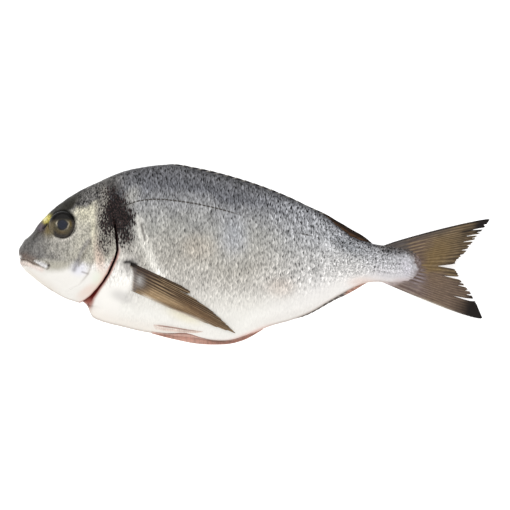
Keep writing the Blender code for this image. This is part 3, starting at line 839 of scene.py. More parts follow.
def rows_at(column):
    """How many rows of scales a flank has in a column. The rows run out towards the tail."""
    x = mix(FIRST_COLUMN_X, BODY_LENGTH, np.clip(column, 0, SCALE_COLUMNS) / SCALE_COLUMNS)
    row_height = mix(FRONT_ROW, REAR_ROW, ease((x - 120) / 120))
    return np.rint((curve_through(BACK, x) - curve_through(BELLY, x)) / row_height)


def scale_height(column, row):
    """Lapped scales: each rises towards its rounded free edge, which lies over the next column."""
    whole = np.floor(column)
    share = column - whole
    height = np.zeros(len(column))
    for back in (0, 1):
        owner = whole - back
        across = (row - 0.5 * np.mod(owner, 2)) % 1 - 0.5
        reach = 1 + SCALE_BULGE * (1 - 4 * across**2)
        inside = share + back < reach
        rise = (share + back) / reach * (1 - 0.35 * (2 * across) ** 2)
        height = np.maximum(height, np.where(inside, rise, 0))
    return height


trunk_mesh, trunk_ring, trunk_angle = loft("trunk_skin", TRUNK_SEGMENTS, trunk_rings, trunk_place)
trunk_points = points_of(trunk_mesh)
tx, ty = trunk_points[:, 0], trunk_points[:, 1]
scale_column = np.maximum(trunk_ring - first_flank_ring, 0) / RINGS_PER_COLUMN
down, side_sign = flank_share(trunk_angle)
scale_row = down * rows_at(np.floor(scale_column)) * side_sign
past_slit = tx - shoulder_edge_x(trunk_angle) - SLIT_OPEN
bare_width = mix(1.5, 16.0, ease((10 - ty) / 24) * ease((ty + 56) / 12))
scaled = ease((past_slit - bare_width) / 5.0) * ease((1.02 - down) / 0.12)
scaled *= 1 - 0.75 * bell(near_line(tx, ty, SHOULDER_BAND), 3.0)
line_distance = near_line(tx, ty, LATERAL_LINE)
trunk_lump = mottle(trunk_points, 22.0, 1)
line_pores = 0.5 + 0.5 * np.cos(2 * math.pi * scale_column)
trunk_height = SCALE_LIFT * scaled * (scale_height(scale_column, scale_row) - 0.5)
trunk_dents = 0.35 * trunk_lump * ease(past_slit / 8)
trunk_height += 0.22 * scaled * bell(line_distance, 0.9) * line_pores + trunk_dents
trunk_height += 0.05 * mottle(trunk_points, 1.6, 9) * ease(past_slit / 3)
trunk_height *= ease((BODY_LENGTH - tx) / 3)
raise_skin(trunk_mesh, trunk_points, trunk_height)

# Colours down the flank, from the back to the belly: share of the way, red, green, blue
FRONT_FLANK = [
    (0.0, 78, 78, 81), (0.07, 100, 100, 103), (0.17, 106, 107, 112), (0.27, 148, 148, 149),
    (0.4, 162, 161, 156), (0.55, 178, 174, 166), (0.68, 200, 196, 189), (0.78, 226, 223, 216),
    (0.87, 243, 241, 235), (1.0, 243, 240, 234),
]
REAR_FLANK = [
    (0.0, 108, 109, 114), (0.12, 154, 155, 159), (0.3, 172, 173, 176), (0.5, 194, 193, 192),
    (0.66, 208, 206, 204), (0.78, 234, 231, 228), (0.88, 246, 243, 240), (1.0, 240, 234, 230),
]
PEDUNCLE = [
    (0.0, 84, 84, 86), (0.14, 124, 124, 127), (0.32, 170, 170, 173), (0.55, 198, 197, 200),
    (0.75, 208, 205, 207), (0.88, 226, 220, 219), (1.0, 222, 208, 204),
]


def ramp(share, stops):
    """The colour at a share of the way along a list of (share, red, green, blue)."""
    shares = [stop[0] for stop in stops]
    colours = np.array([tone(*stop[1:]) for stop in stops])
    return np.stack([np.interp(share, shares, colours[:, i]) for i in range(3)], -1)


def flank_ground(x, points, share, lump):
    share = share + 0.035 * lump + 0.02 * mottle(points, 6.0, 4)
    banded = mottle(points, 7.0, 11, (1, 0.3, 0.3))
    paint = ramp(share, FRONT_FLANK)
    for stops, start, length in ((REAR_FLANK, 150, 60), (PEDUNCLE, 226, 22)):
        reached = ease((x - start) / length)[:, None]
        paint = paint * (1 - reached) + ramp(share, stops) * reached
    return vary(paint, 0.09 * banded * (1 - ease((share - 0.6) / 0.2)))


def lay_back(paint, x, y, points):
    """The dark back, the nape's grey run on behind the gill cover, and large soft patches."""
    from_back = curve_through(BACK, x) - y
    paint = lay(paint, tone(60, 60, 63), 0.75 * (1 - ease((from_back - 0.6) / 3.2)))
    seam = bell(np.maximum(past_slit, 0), 10.0)
    paint = lay(paint, NAPE_GREY, seam * (1 - ease((from_back - 10) / 7)))
    paint = lay(paint, DARK_TOP, 0.4 * seam * (1 - ease((from_back - 2) / 6)))
    specked = bell(np.maximum(past_slit, 0), 16.0) * (1 - ease((from_back - 11) / 8))
    paint = vary(paint, nape_specks(points) * specked)
    return lay_patches(paint, x, y, [
        (tone(88, 88, 92), 0.5, (94, 52), (16, 7), -4),
        (tone(186, 184, 176), 0.5, (76, 38), (5, 9), -30),
        (tone(186, 170, 150), 0.3, (122, 6), (12, 9), 0),
        (tone(196, 176, 160), 0.34, (178, -22), (10, 7), 0),
        (tone(172, 178, 196), 0.3, (146, 12), (10, 13), 0),
        (tone(96, 100, 104), 0.5, (222, 7), (12, 4.5), -28),
    ])


def lay_belly(paint, x, y):
    """The bare white shoulder with painted shade round the fin's root and a painted shadow in the pit over
    it, the pale belly, its pinkish keel and a painted shade line along it.
    """
    above_keel = y - curve_through(BELLY, x)
    bare = (1 - scaled) * ease((past_slit + 0.5) / 2) * ease((4 - y) / 14)
    paint = lay(paint, tone(246, 243, 237), bare)
    paint = lay_patches(paint, x, y, [
        (tone(206, 202, 194), 0.8, (71, 3), (9, 10), -20),
        # Painted shade round the fin's root.
        (tone(150, 146, 142), 0.85, (76.5, -6.5), (5.5, 7), -30),
        (tone(196, 193, 190), 0.6, (70.5, -28), (8, 4), -20),
    ])
    # A painted shadow in the pit over the fin's root.
    paint = lay_lines(paint, x, y, [(tone(18, 14, 14), 1, FIN_PIT_SHADOW, 1.1)])
    paint = lay(paint, tone(238, 230, 220), 0.8 * bell(above_keel, 7.0) * ease((130 - x) / 40))
    paint = lay(paint, tone(232, 228, 222), 0.7 * bell(above_keel, 9.0) * bell(x - 190, 34))
    paint = lay(paint, tone(236, 228, 198), 0.6 * patch(x, y, (113, -41), (13, 4.5), -20))
    paint = lay_lines(paint, x, y, [
        (tone(242, 239, 230), 0.65, SHOULDER_BAND, 3.2),
        (tone(64, 58, 54), 0.8, SHOULDER_STREAK, 0.8),
    ])
    # A darker line along the keel, painted as shade along the lower outline.
    keel = bell(above_keel, 1.1) * ease((x - 45) / 5)
    paint = lay(paint, tone(150, 132, 120), 0.7 * keel)
    paint = lay(paint, tone(222, 178, 164), 0.8 * bell(above_keel, 2.0) * bell(x - 157, 12))
    return lay(paint, tone(226, 196, 182), 0.5 * patch(x, y, (233, -19), (9, 4)))


def lay_tail_root(paint, x, y, points):
    """The rounded end of the scales on the brown root of the tail, with its streaks and dark top."""
    rounded_end = 9.6 * np.sqrt(np.clip(1 - ((y + 8.5) / 12) ** 2, 0, 1))
    past_scales = x - SCALES_END - rounded_end + 1.8 * mottle(points, 1.5, 12)
    past_scales += 2.6 + 1.2 * mottle(points, 4.5, 14)
    brown = ease((past_scales + 2) / 5.2) * (1 - 0.6 * ease((-14.5 - y) / 3))
    paint = lay(paint, tone(108, 92, 86), brown)
    streaks = 0.5 + 0.5 * np.cos(2 * math.pi * (y + 0.4 * (x - SCALES_END)) / 1.7)
    paint = lay(paint, tone(112, 98, 98), 0.8 * streaks * patch(x, y, (268.5, -15), (5.5, 5)))
    paint = lay(paint, tone(196, 178, 174), 0.7 * patch(x, y, (261, -18.5), (7, 3)))
    paint = lay(paint, tone(198, 195, 203), 0.7 * bell(past_scales + 5, 5) * bell(y + 9, 8))
    above_white = y - 4.2 + 0.127 * (x - 236) + 2.2 * mottle(points, 1.6, 13)
    return lay(paint, tone(80, 76, 74), 0.85 * ease((above_white + 2.4) / 5.4) * ease((x - 236) / 16))


def lay_slit(paint, x, y, angle):
    """The pinkish lip and dark lining of the gill slit, and the flap of gill skin at its foot."""
    paint = lay(paint, tone(170, 118, 106), 0.75 * bell(past_slit, 0.9) * ease((8 - y) / 8))
    paint = lay(paint, tone(132, 66, 50), patch(x, y, (43.5, -33.6), (5.0, 2.4), -25))
    inside = (1 - ease((past_slit + 0.55) / 0.6)) * ease(slit_open(angle) / 0.5)
    paint = lay_lining(paint, y, inside)
    return lay(paint, tone(160, 98, 84), 0.8 * patch(x, y, (47.2, -32), (3.2, 2.8)))


def trunk_paint(points, angle, share, lump):
    x, y = points[:, 0], points[:, 1]
    paint = flank_ground(x, points, share, lump)
    paint = lay_back(paint, x, y, points)
    paint = lay_belly(paint, x, y)
    paint = lay_tail_root(paint, x, y, points)
    return lay_slit(paint, x, y, angle)


def line_strength(x):
    return mix(1.0, 0.16, ease((x - 140) / 14)) + 0.8 * bell(x - 195, 4) + 0.4 * bell(x - 214, 5)


set_paint(trunk_mesh, "paint", trunk_paint(trunk_points, trunk_angle, down, trunk_lump))
set_mask(trunk_mesh, "blotch", blotch_mask(tx, ty))
set_mask(trunk_mesh, "scaled", scaled)
set_mask(trunk_mesh, "line", line_strength(tx) * scaled * ease((262 - tx) / 20))
set_mask(trunk_mesh, "line_offset", ty - curve_through(LATERAL_LINE, tx))
set_mask(trunk_mesh, "rear", ease((tx - 185) / 50))
shoulder_speckle = mix(0.5, 1.5, ease((ty - 22) / 12)) * (1 - scaled) * ease((past_slit + 1) / 2)
shoulder_speckle *= ease((ty + 25 + 6 * trunk_lump) / 12)
down_fade = mix(1.55, 0.8, ease(down / 0.42)) * (1 - 0.92 * ease((down - 0.6) / 0.24))
down_fade *= (1 + 0.36 * ease((tx - 150) / 45)) * (1 - 0.4 * ease((tx - 248) / 14))
set_mask(trunk_mesh, "contrast", down_fade * scaled + shoulder_speckle)


def corner_points(mesh):
    """The point that each corner of each face stands on."""
    corners = np.empty(len(mesh.loops), int)
    mesh.loops.foreach_get("vertex_index", corners)
    return corners


def set_map(mesh, name, across, up):
    layer = mesh.uv_layers.new(name=name)
    layer.data.foreach_set("uv", np.column_stack([across, up]).ravel())


def set_scale_map(mesh, columns, share, flank):
    """UV map of the scales: across it the column, up it the row, with the left flank's rows above."""
    corners = corner_points(mesh)
    face_of = np.repeat(np.arange(len(mesh.polygons)), [len(p.vertices) for p in mesh.polygons])
    lowest = np.full(len(mesh.polygons), 1e9)
    np.minimum.at(lowest, face_of, columns[corners])
    rows = rows_at(np.floor(lowest))[face_of]
    right = np.zeros(len(mesh.polygons))
    middle = np.where((share[corners] < 0.999) & (share[corners] > 0.001), flank[corners], 0)
    np.add.at(right, face_of, middle)
    side = np.where(right[face_of] < 0, -1, 1)
    set_map(mesh, "scale_map", columns[corners] / MAP_COLUMNS, 0.5 + side * share[corners] * rows / MAP_ROWS)


set_scale_map(trunk_mesh, scale_column, down, side_sign)


def mix_value(tree, factor, first, second):
    rest = minus(tree, 1.0, factor)
    return plus(tree, times(tree, first, rest), times(tree, second, factor))


def scale_group():
    """Node group that tells each lapped scale apart, from its column and row."""
    tree = bpy.data.node_groups.new("lapped_scales", "ShaderNodeTree")
    for name in ("Column", "Row"):
        tree.interface.new_socket(name, in_out="INPUT", socket_type="NodeSocketFloat")
    for name in ("Tint", "Second Tint", "Rise"):
        tree.interface.new_socket(name, in_out="OUTPUT", socket_type="NodeSocketFloat")
    given = tree.nodes.new("NodeGroupInput")
    column, row = given.outputs["Column"], given.outputs["Row"]
    whole = calc(tree, "FLOOR", column)
    share = calc(tree, "FRACT", column)
    found = []
    for back in (0.0, 1.0):
        owner = minus(tree, whole, back)
        half_step = times(tree, calc(tree, "FLOORED_MODULO", owner, 2.0), 0.5)
        shifted = minus(tree, row, half_step)
        across = minus(tree, calc(tree, "FRACT", shifted), 0.5)
        squared = calc(tree, "POWER", calc(tree, "ABSOLUTE", across), 2.0)
        curve = minus(tree, 1.0, times(tree, squared, 4.0))
        reach = plus(tree, 1.0, times(tree, curve, SCALE_BULGE))
        rise = calc(tree, "DIVIDE", plus(tree, share, back), reach)
        found.append((owner, calc(tree, "FLOOR", shifted), rise))
    lapped = calc(tree, "LESS_THAN", found[1][2], 1.0)
    owner, number, rise = [mix_value(tree, lapped, own, lying_over) for own, lying_over in zip(*found)]
    scale = tree.nodes.new("ShaderNodeCombineXYZ")
    link(tree, owner, scale.inputs["X"])
    link(tree, number, scale.inputs["Y"])
    draw = tree.nodes.new("ShaderNodeTexWhiteNoise")
    draw.noise_dimensions = "3D"
    link(tree, scale.outputs["Vector"], draw.inputs["Vector"])
    parts = tree.nodes.new("ShaderNodeSeparateColor")
    link(tree, draw.outputs["Color"], parts.inputs["Color"])
    put = tree.nodes.new("NodeGroupOutput")
    link(tree, draw.outputs["Value"], put.inputs["Tint"])
    link(tree, parts.outputs[1], put.inputs["Second Tint"])
    link(tree, rise, put.inputs["Rise"])
    return tree


def map_axes(tree, name):
    """A UV map of the piece, whole and as its two axes."""
    node = tree.nodes.new("ShaderNodeUVMap")
    node.uv_map = name
    split = tree.nodes.new("ShaderNodeSeparateXYZ")
    link(tree, node.outputs["UV"], split.inputs["Vector"])
    return node.outputs["UV"], split.outputs["X"], split.outputs["Y"]


def scale_material():
    material, tree, shader = new_material("scaled_skin")
    _, map_across, map_up = map_axes(tree, "scale_map")
    wander = times(tree, minus(tree, grain(tree, 5.0), 0.5), 0.5)
    column = plus(tree, times(tree, map_across, MAP_COLUMNS), wander)
    row = times(tree, minus(tree, map_up, 0.5), MAP_ROWS)
    scales = tree.nodes.new("ShaderNodeGroup")
    scales.node_tree = scale_group()
    link(tree, column, scales.inputs["Column"])
    link(tree, row, scales.inputs["Row"])
    tint, second, rise = scales.outputs
    rear = attribute(tree, "rear")
    dash = grain(tree, 0.72, (1, 3.8, 3.8), detail=1.5)
    speck = grain(tree, 0.95, (1, 1.1, 1.1), detail=1.0, offset=(7, 7, 7))
    streak = mix_value(tree, rear, dash, speck)
    nicks = grain(tree, 0.85, (1, 3.4, 3.4), detail=1.0, offset=(9, 9, 9))
    fine = grain(tree, 0.7, detail=1.0, offset=(3, 3, 3))
    # A painted highlight along each scale's free edge, and painted shadow in the gap behind it; dark also
    # holds darker nicks.
    rim = span(tree, rise, 0.6, 0.8, smooth=True)
    rim = times(tree, rim, span(tree, rise, 0.93, 1.0, 1.0, 0.0))
    painted_rim_highlight = times(tree, rim, span(tree, tint, 0.1, 0.9, 0.05, 0.42))
    painted_rim_highlight = times(tree, painted_rim_highlight, span(tree, streak, 0.36, 0.6, 0.3, 1.1))
    painted_gap_shadow = span(tree, rise, 0.5, 0.2, smooth=True)
    dark = times(tree, painted_gap_shadow, span(tree, second, 0.0, 1.0, 0.05, 0.34))
    dark = plus(tree, dark, span(tree, nicks, 0.56, 0.64, 0.0, 0.36, smooth=True))
    body = span(tree, tint, 0.0, 1.0, -0.12, 0.08)
    rows = times(tree, calc(tree, "COSINE", times(tree, row, 2 * math.pi)), -0.12)
    lines = span(tree, streak, 0.32, 0.68, -0.42, 0.42)
    lines = plus(tree, lines, times(tree, rows, rear))
    change = plus(tree, minus(tree, painted_rim_highlight, dark), plus(tree, body, lines))
    shade = plus(tree, 1.0, times(tree, change, attribute(tree, "contrast")))
    uneven = span(tree, streak, 0.3, 0.7, -0.52, 0.52)
    uneven = plus(tree, span(tree, tint, 0.0, 1.0, -0.14, 0.14), uneven)
    colour = lay_blotch(tree, shaded_paint(tree, shade), uneven)
    pores = span(tree, calc(tree, "FRACT", column), 0.15, 0.4, 0.3, 1.0)
    off_line = calc(tree, "ABSOLUTE", attribute(tree, "line_offset"))
    dashes = times(tree, attribute(tree, "line"), pores)
    dashes = times(tree, dashes, span(tree, off_line, 0.25, 0.75, 1.0, 0.0, smooth=True))
    colour = blend_colour(tree, "MIX", dashes, colour, tone(66, 62, 58))
    link(tree, colour, shader.inputs["Base Color"])
    link(tree, span(tree, tint, 0.0, 1.0, 0.3, 0.5), shader.inputs["Roughness"])
    height = plus(tree, rise, times(tree, streak, 0.6))
    height = times(tree, height, attribute(tree, "scaled"))
    height = plus(tree, height, times(tree, fine, 0.25))
    link(tree, bump(tree, height, 0.4, 0.2), shader.inputs["Normal"])
    wet_finish(shader)
    return material


place_piece("trunk_skin", trunk_mesh, scale_material())

# The eyeballs: clear wet domes over the iris, sunk in the sockets of the head and turned a
# little up and forward. The pupil is clouded blue-grey, as on a dead fish, in a broken pale
# ring, an olive-brown iris and a dark rim, with a black shade under the brow.
EYE_RADIUS, EYE_HALF_DEPTH, EYE_SINK = 9.6, 3.9, 2.0
EYE_UPWARD, EYE_FORWARD = 6, 3
# Colours from the middle of the pupil out to the rim: share of the radius, red, green, blue
IRIS_RINGS = [
    (0.0, 30, 34, 48), (0.28, 32, 36, 46), (0.35, 34, 33, 35), (0.4, 66, 60, 50), (0.46, 84, 80, 64),
    (0.56, 80, 72, 54), (0.68, 74, 66, 52), (0.76, 58, 53, 48), (0.84, 60, 56, 53), (0.91, 70, 66, 62),
    (1.0, 60, 54, 50),
]


def flank_place(x, y, flank, lift, lower_outline=BELLY):
    """Points that stand lift above the skin of a flank, over (x, y) of the side view."""
    level, above, below, half_width = section(x, lower_outline)
    reach = np.where(y > level, above, below)
    up = np.clip((y - level) / reach, -0.99, 0.99)
    out = np.sqrt(1 - up * up)
    lean = np.where(up > 0, BACK_LEAN, BELLY_LEAN)
    away = np.stack([0 * up, up / reach, flank * out / half_width], -1)
    away /= np.linalg.norm(away, axis=-1, keepdims=True)
    skin = np.stack([x + 0 * up, level + up * reach, middle_plane(x) + flank * half_width * out**lean], -1)
    return skin + away * np.asarray(lift)[..., None]


def eye_mesh(name, flank):
    shape = bmesh.new()
    bmesh.ops.create_uvsphere(shape, u_segments=96, v_segments=64, radius=1)
    mesh = bpy.data.meshes.new(name)
    shape.to_mesh(mesh)
    shape.free()
    unit = read_points(mesh)
    out = np.hypot(unit[:, 0], unit[:, 1])
    turn = np.arctan2(unit[:, 1], unit[:, 0])
    dome = unit * np.array((EYE_RADIUS, EYE_RADIUS, EYE_HALF_DEPTH))
    centre = flank_place(*(EYE_PLACE / MM), flank, 0.0, THROAT) - np.array((0, 0, flank * EYE_SINK))
    tilt = Euler([math.radians(a) for a in (-flank * EYE_UPWARD, -flank * EYE_FORWARD, 0)]).to_matrix()
    set_points(mesh, dome @ np.array(tilt).T + centre)
    wobble = 0.03 * np.sin(3 * turn + 1) + 0.02 * np.sin(7 * turn)
    paint = ramp(np.clip(out + wobble * ease((out - 0.4) / 0.2), 0, 1), IRIS_RINGS)
    front = np.maximum(bell(np.abs(turn + 0.3) - math.pi, 0.42), 0.75 * bell(turn + 0.2, 0.8))
    paint = lay(paint, tone(222, 210, 188), 0.7 * front * bell(out - 0.43 - wobble, 0.034))
    paint = lay(paint, tone(104, 84, 58), 0.6 * bell(out - 0.52, 0.07) * bell(turn + 1.6, 0.6))
    paint = lay(paint, tone(110, 92, 44), 0.6 * bell(out - 0.56, 0.08) * bell(turn - 0.2, 0.5))
    lower_front = ease((-unit[:, 0] - 0.5) / 0.3) * ease((0.45 - unit[:, 1]) / 0.5)
    paint = lay(paint, tone(112, 102, 80), 0.85 * lower_front)
    # Painted shade over the top of the eyeball, under the brow.
    upper = ease((unit[:, 1] - 0.14) / 0.34) * ease((out - 0.16) / 0.34) * ease((unit[:, 0] + 0.95) / 0.3)
    paint = lay(paint, tone(12, 10, 9), 0.97 * upper)
    set_paint(mesh, "paint", vary(paint, 0.35 * mottle(unit * 9, 1.0, 21) * ease(out / 0.3)))
    set_mask(mesh, "iris", 0.45 + 0.55 * ease((out - 0.46) / 0.1))
    return mesh


def eye_material():
    material, tree, shader = new_material("wet_eye")
    flecks = grain(tree, 0.45, detail=3.0)
    uneven = span(tree, flecks, 0.3, 0.7, -0.4, 0.4)
    shade = plus(tree, 1.0, times(tree, uneven, attribute(tree, "iris")))
    link(tree, shaded_paint(tree, shade), shader.inputs["Base Color"])
    link(tree, span(tree, flecks, 0.3, 0.7, 0.2, 0.34), shader.inputs["Roughness"])
    shader.inputs["Specular IOR Level"].default_value = 0.06
    shader.inputs["Coat Weight"].default_value = 0.14
    shader.inputs["Coat Roughness"].default_value = 0.05
    return material


wet_eye = eye_material()
for eye_name, eye_flank in (("eye_left", 1), ("eye_right", -1)):
    place_piece(eye_name + "_ball", eye_mesh(eye_name + "_ball", eye_flank), wet_eye, (eye_name,))

# The tail fin: a forked fan of bony rays under thin olive-brown skin, rooted in the scaled
# end of the body. Each ray splits twice on its way out. The tips are dark and frayed, and
# three deep tears run in from the rear edge.
TAIL_ROOT = [
    (0, 246, 5.4), (0.12, 255, 3.2), (0.3, 261, -0.8), (0.5, 263, -6.4), (0.7, 261, -12.2),
    (0.88, 255, -16.6), (1, 246, -18),
]
TAIL_TIPS = [
    (0, 320, 24.3), (0.1, 316.2, 17.5), (0.19, 311.6, 13), (0.27, 309.4, 9.8), (0.34, 306, 5.6),
    (0.41, 303.6, 1.8), (0.47, 297, -4), (0.505, 295.4, -8.6), (0.55, 298.6, -13), (0.6, 300.2, -17),
    (0.66, 303.4, -20.9), (0.74, 307.4, -26), (0.83, 310.4, -31.6), (0.92, 312.6, -37.2), (1, 315, -42.8),
]
# Tears from the rear edge: (share across, depth as a share of the ray, half width as a share across)
TAIL_TEARS = [
    (0.06, 0.03, 0.008), (0.096, 0.15, 0.01), (0.142, 0.06, 0.008), (0.178, 0.17, 0.01), (0.225, 0.05, 0.008),
    (0.272, 0.16, 0.011), (0.325, 0.05, 0.008), (0.378, 0.1, 0.01), (0.43, 0.04, 0.008), (0.5, 0.34, 0.014),
    (0.585, 0.3, 0.013), (0.63, 0.06, 0.008), (0.665, 0.12, 0.009), (0.71, 0.05, 0.007), (0.755, 0.08, 0.008),
    (0.812, 0.28, 0.016),
]
TAIL_RAYS = 16
TAIL_BOW, TAIL_WAVE = 2.0, 1.6
SHEET_GAP = 0.05
FIN_OLIVE = tone(104, 87, 64)
FIN_RAY = tone(142, 122, 94)
FIN_WEB = tone(80, 66, 52)
FIN_DARK = tone(25, 20, 18)
FIN_GOLD = tone(124, 101, 62)
FIN_PLUM = tone(94, 78, 73)


def across_at(rows, share):
    """The (distance, height) of a fin's root or tip line at a share of the way across it."""
    shares, xs, ys = np.array(rows, float).T
    return np.interp(share, shares, xs), np.interp(share, shares, ys)


def spread(root, tips, across, out):
    root_x, root_y = across_at(root, across)
    tip_x, tip_y = across_at(tips, across)
    return mix(root_x, tip_x, out), mix(root_y, tip_y, out)


def fin(name, columns, steps, place):
    """A thin closed sheet. place(across, out, side) gives both faces. Returns mesh, across and out."""
    shape = bmesh.new()
    bmesh.ops.create_grid(shape, x_segments=columns, y_segments=steps, size=0.5)
    back = bmesh.ops.create_grid(shape, x_segments=columns, y_segments=steps, size=0.5)["verts"]
    bmesh.ops.translate(shape, verts=back, vec=(0, 0, -SHEET_GAP))
    bmesh.ops.reverse_faces(shape, faces=[face for face in shape.faces if face.verts[0].co.z < -0.01])
    bmesh.ops.bridge_loops(shape, edges=[edge for edge in shape.edges if edge.is_boundary])
    mesh = bpy.data.meshes.new(name)
    shape.verts.index_update()
    shape.to_mesh(mesh)
    shape.free()
    flat = read_points(mesh)
    across, out = np.clip(flat[:, 0] + 0.5, 0, 1), np.clip(flat[:, 1] + 0.5, 0, 1)
    side = np.where(flat[:, 2] < -0.01, -1, 1)
    set_points(mesh, place(across, out, side))
    face_outward(mesh)
    return mesh, across, out


def face_outward(mesh):
    shape = bmesh.new()
    shape.from_mesh(mesh)
    bmesh.ops.recalc_face_normals(shape, faces=shape.faces)
    if shape.calc_volume(signed=True) < 0:
        bmesh.ops.reverse_faces(shape, faces=shape.faces)
    shape.to_mesh(mesh)
    shape.free()


def torn(across, tears):
    return 1 - sum(depth * np.maximum(0, 1 - np.abs(across - place) / half) for place, depth, half in tears)


def branched(across, out, rays, first=0.34, second=0.66):
    """1 on the middle of a ray and 0 in the web, for rays that split in two and in two again."""
    ribs = []
    for parts, shift in ((1, 0.5), (2, 0), (4, 0)):
        ribs.append(0.5 + 0.5 * np.cos(2 * math.pi * rays * (across * parts + shift / rays)))
    split = ease((out - first + 0.08) / 0.16)
    again = ease((out - second + 0.07) / 0.14)
    return mix(mix(ribs[0], ribs[1], split), ribs[2], again)


def tail_frays(across, out):
    """How far a ray's tip reaches, as a share of its length."""
    comb = 0.5 - 0.5 * np.cos(8 * math.pi * TAIL_RAYS * across)
    stray = 0.5 + 0.5 * np.sin(37 * across) * np.sin(91 * across + 1)
    combed = (0.004 + 0.018 * stray) * comb * ease((across - 0.02) / 0.03)
    combed = combed * (1 - ease((across - 0.83) / 0.04))
    return torn(across, TAIL_TEARS) * (1 - combed * ease((out - 0.5) / 0.5))


def tail_place(across, out, side):
    reach = out * tail_frays(across, out)
    x, y = spread(TAIL_ROOT, TAIL_TIPS, across, reach)
    bow = TAIL_BOW * mix(1, 0.4 + 1.35 * reach, ease((across - 0.5) / 0.3))
    y = y + (1 - 2 * across) * bow * np.sqrt(4 * reach * (1 - reach))
    rib = branched(across, out, TAIL_RAYS)
    half = mix(1.3, 0.22, reach**0.6) * (0.62 + 0.38 * rib)
    half = half * ease((np.minimum(across, 1 - across) + 0.004) / 0.02)
    wave = TAIL_WAVE * np.sin(2.2 * math.pi * across) * reach**1.5
    wave = wave + 0.5 * np.sin(9 * across + 2 * out) * reach
    return np.stack([x, y, middle_plane(x) + wave + side * half], -1)


def tail_paint(across, out, points):
    x, y = points[:, 0], points[:, 1]
    rib = branched(across, out, TAIL_RAYS)
    thick_rib = branched(across, out, TAIL_RAYS, 0.34, 1.4)
    lump = mottle(points, 7.0, 5)
    paint = lay(np.tile(FIN_OLIVE, (len(across), 1)), FIN_WEB, 0.75 * (1 - ease(thick_rib / 0.5)))
    paint = lay(paint, FIN_RAY, 0.8 * ease((thick_rib - 0.45) / 0.5))
    paint = vary(paint, 0.16 * mottle(points, 5.0, 2, (0.5, 1, 1)))
    paint = lay(paint, FIN_GOLD, 0.5 * patch(across, out, (0.42, 0.5), (0.3, 0.26)))
    paint = lay(paint, FIN_PLUM, 0.7 * (1 - ease((out - 0.3 + 0.1 * lump) / 0.16)))
    paint = lay(paint, tone(112, 94, 88), 0.5 * ease((across - 0.55 + 0.1 * lump) / 0.1))
    low = ease((across - 0.72 + 0.05 * lump) / 0.14)
    paint = lay(paint, tone(204, 190, 188), 0.85 * low * (1 - ease((out - 0.03 + 0.06 * lump) / 0.12)))
    paint = lay(paint, tone(164, 148, 140), 0.65 * low * ease((rib - 0.4) / 0.4) * bell(out - 0.22, 0.16))
    foot = patch(x, y, (270, -14.5), (6, 7)) * ease((0.62 - rib) / 0.3) * (1 + 0.5 * lump)
    paint = lay(paint, tone(170, 160, 166), 0.62 * foot)
    on_ray = ease((rib - 0.6) / 0.3)
    paint = lay(paint, tone(66, 54, 50), 0.5 * patch(x, y, (268, -17), (9, 7)) * on_ray)
    on_ray = ease((rib - 0.5) / 0.3)
    paint = lay(paint, tone(164, 142, 108), 0.5 * patch(x, y, (268, 7), (14, 6), 14) * on_ray)
    paint = lay(paint, tone(76, 70, 68), 0.8 * (1 - ease(across / 0.14)) * (1 - ease((out - 0.5) / 0.3)))
    upper_root = 0.8 * (1 - ease((across - 0.2) / 0.14)) * (1 - ease((out - 0.1 + 0.08 * lump) / 0.16))
    paint = lay(paint, tone(82, 77, 75), upper_root)
    upper_tip = ease((out - 0.76 + 0.06 * lump) / 0.18) * (1 - ease((across - 0.1) / 0.14))
    lower_tip = ease((x - 0.5 * (y + 36) - 288.5 + 3 * lump + 1.5 * rib) / 20)
    lower_tip = lower_tip * ease((-y - 24 + 2 * lump) / 7)
    middle_tip = 0.35 * ease((out - 0.72 + 0.1 * lump) / 0.26)
    paint = lay(paint, FIN_DARK, np.maximum(np.maximum(upper_tip, lower_tip), middle_tip))
    paint = lay(paint, tone(196, 186, 170), 0.7 * ease((across - 0.975) / 0.02) * bell(out - 0.5, 0.2))
    return lay(paint, FIN_DARK, 0.7 * ease((0.03 - across) / 0.02))


def finish_fin(name, mesh, across, out, colours, material):
    """Lays on the colours and the UV map of the rays: across it the rays, up it the way out."""
    set_paint(mesh, "paint", colours)
    corners = corner_points(mesh)
    set_map(mesh, "ray_map", across[corners], out[corners])
    place_piece(name, mesh, material)


def fin_material(name, rays, joints, jointed=0.14):
    """Thin wet skin over jointed rays, with short lines across the rays and streaks along them."""
    material, tree, shader = new_material(name)
    ray_map, _, map_out = map_axes(tree, "ray_map")
    streaks = noise(tree, ray_map, (rays * 9.0, joints * 0.16, 1))
    joint = calc(tree, "FRACT", times(tree, map_out, joints))
    joint = span(tree, joint, 0.0, 0.3, 1.0, 0.0)
    shade = span(tree, streaks, 0.3, 0.7, 0.72, 1.26)
    shade = plus(tree, shade, times(tree, joint, -jointed))
    shade = plus(tree, shade, span(tree, grain(tree, 2.2), 0.3, 0.7, -0.1, 0.1))
    link(tree, shaded_paint(tree, shade), shader.inputs["Base Color"])
    link(tree, span(tree, streaks, 0.3, 0.7, 0.34, 0.56), shader.inputs["Roughness"])
    height = minus(tree, streaks, times(tree, joint, 0.4))
    link(tree, bump(tree, height, 0.5, 0.12), shader.inputs["Normal"])
    wet_finish(shader)
    return material


tail_mesh, tail_across, tail_out = fin("tail_fin", 16 * TAIL_RAYS, 64, tail_place)
tail_colours = tail_paint(tail_across, tail_out, points_of(tail_mesh))
tail_skin = fin_material("tail_fin_skin", TAIL_RAYS, 70.0)
finish_fin("tail_fin", tail_mesh, tail_across, tail_out, tail_colours, tail_skin)

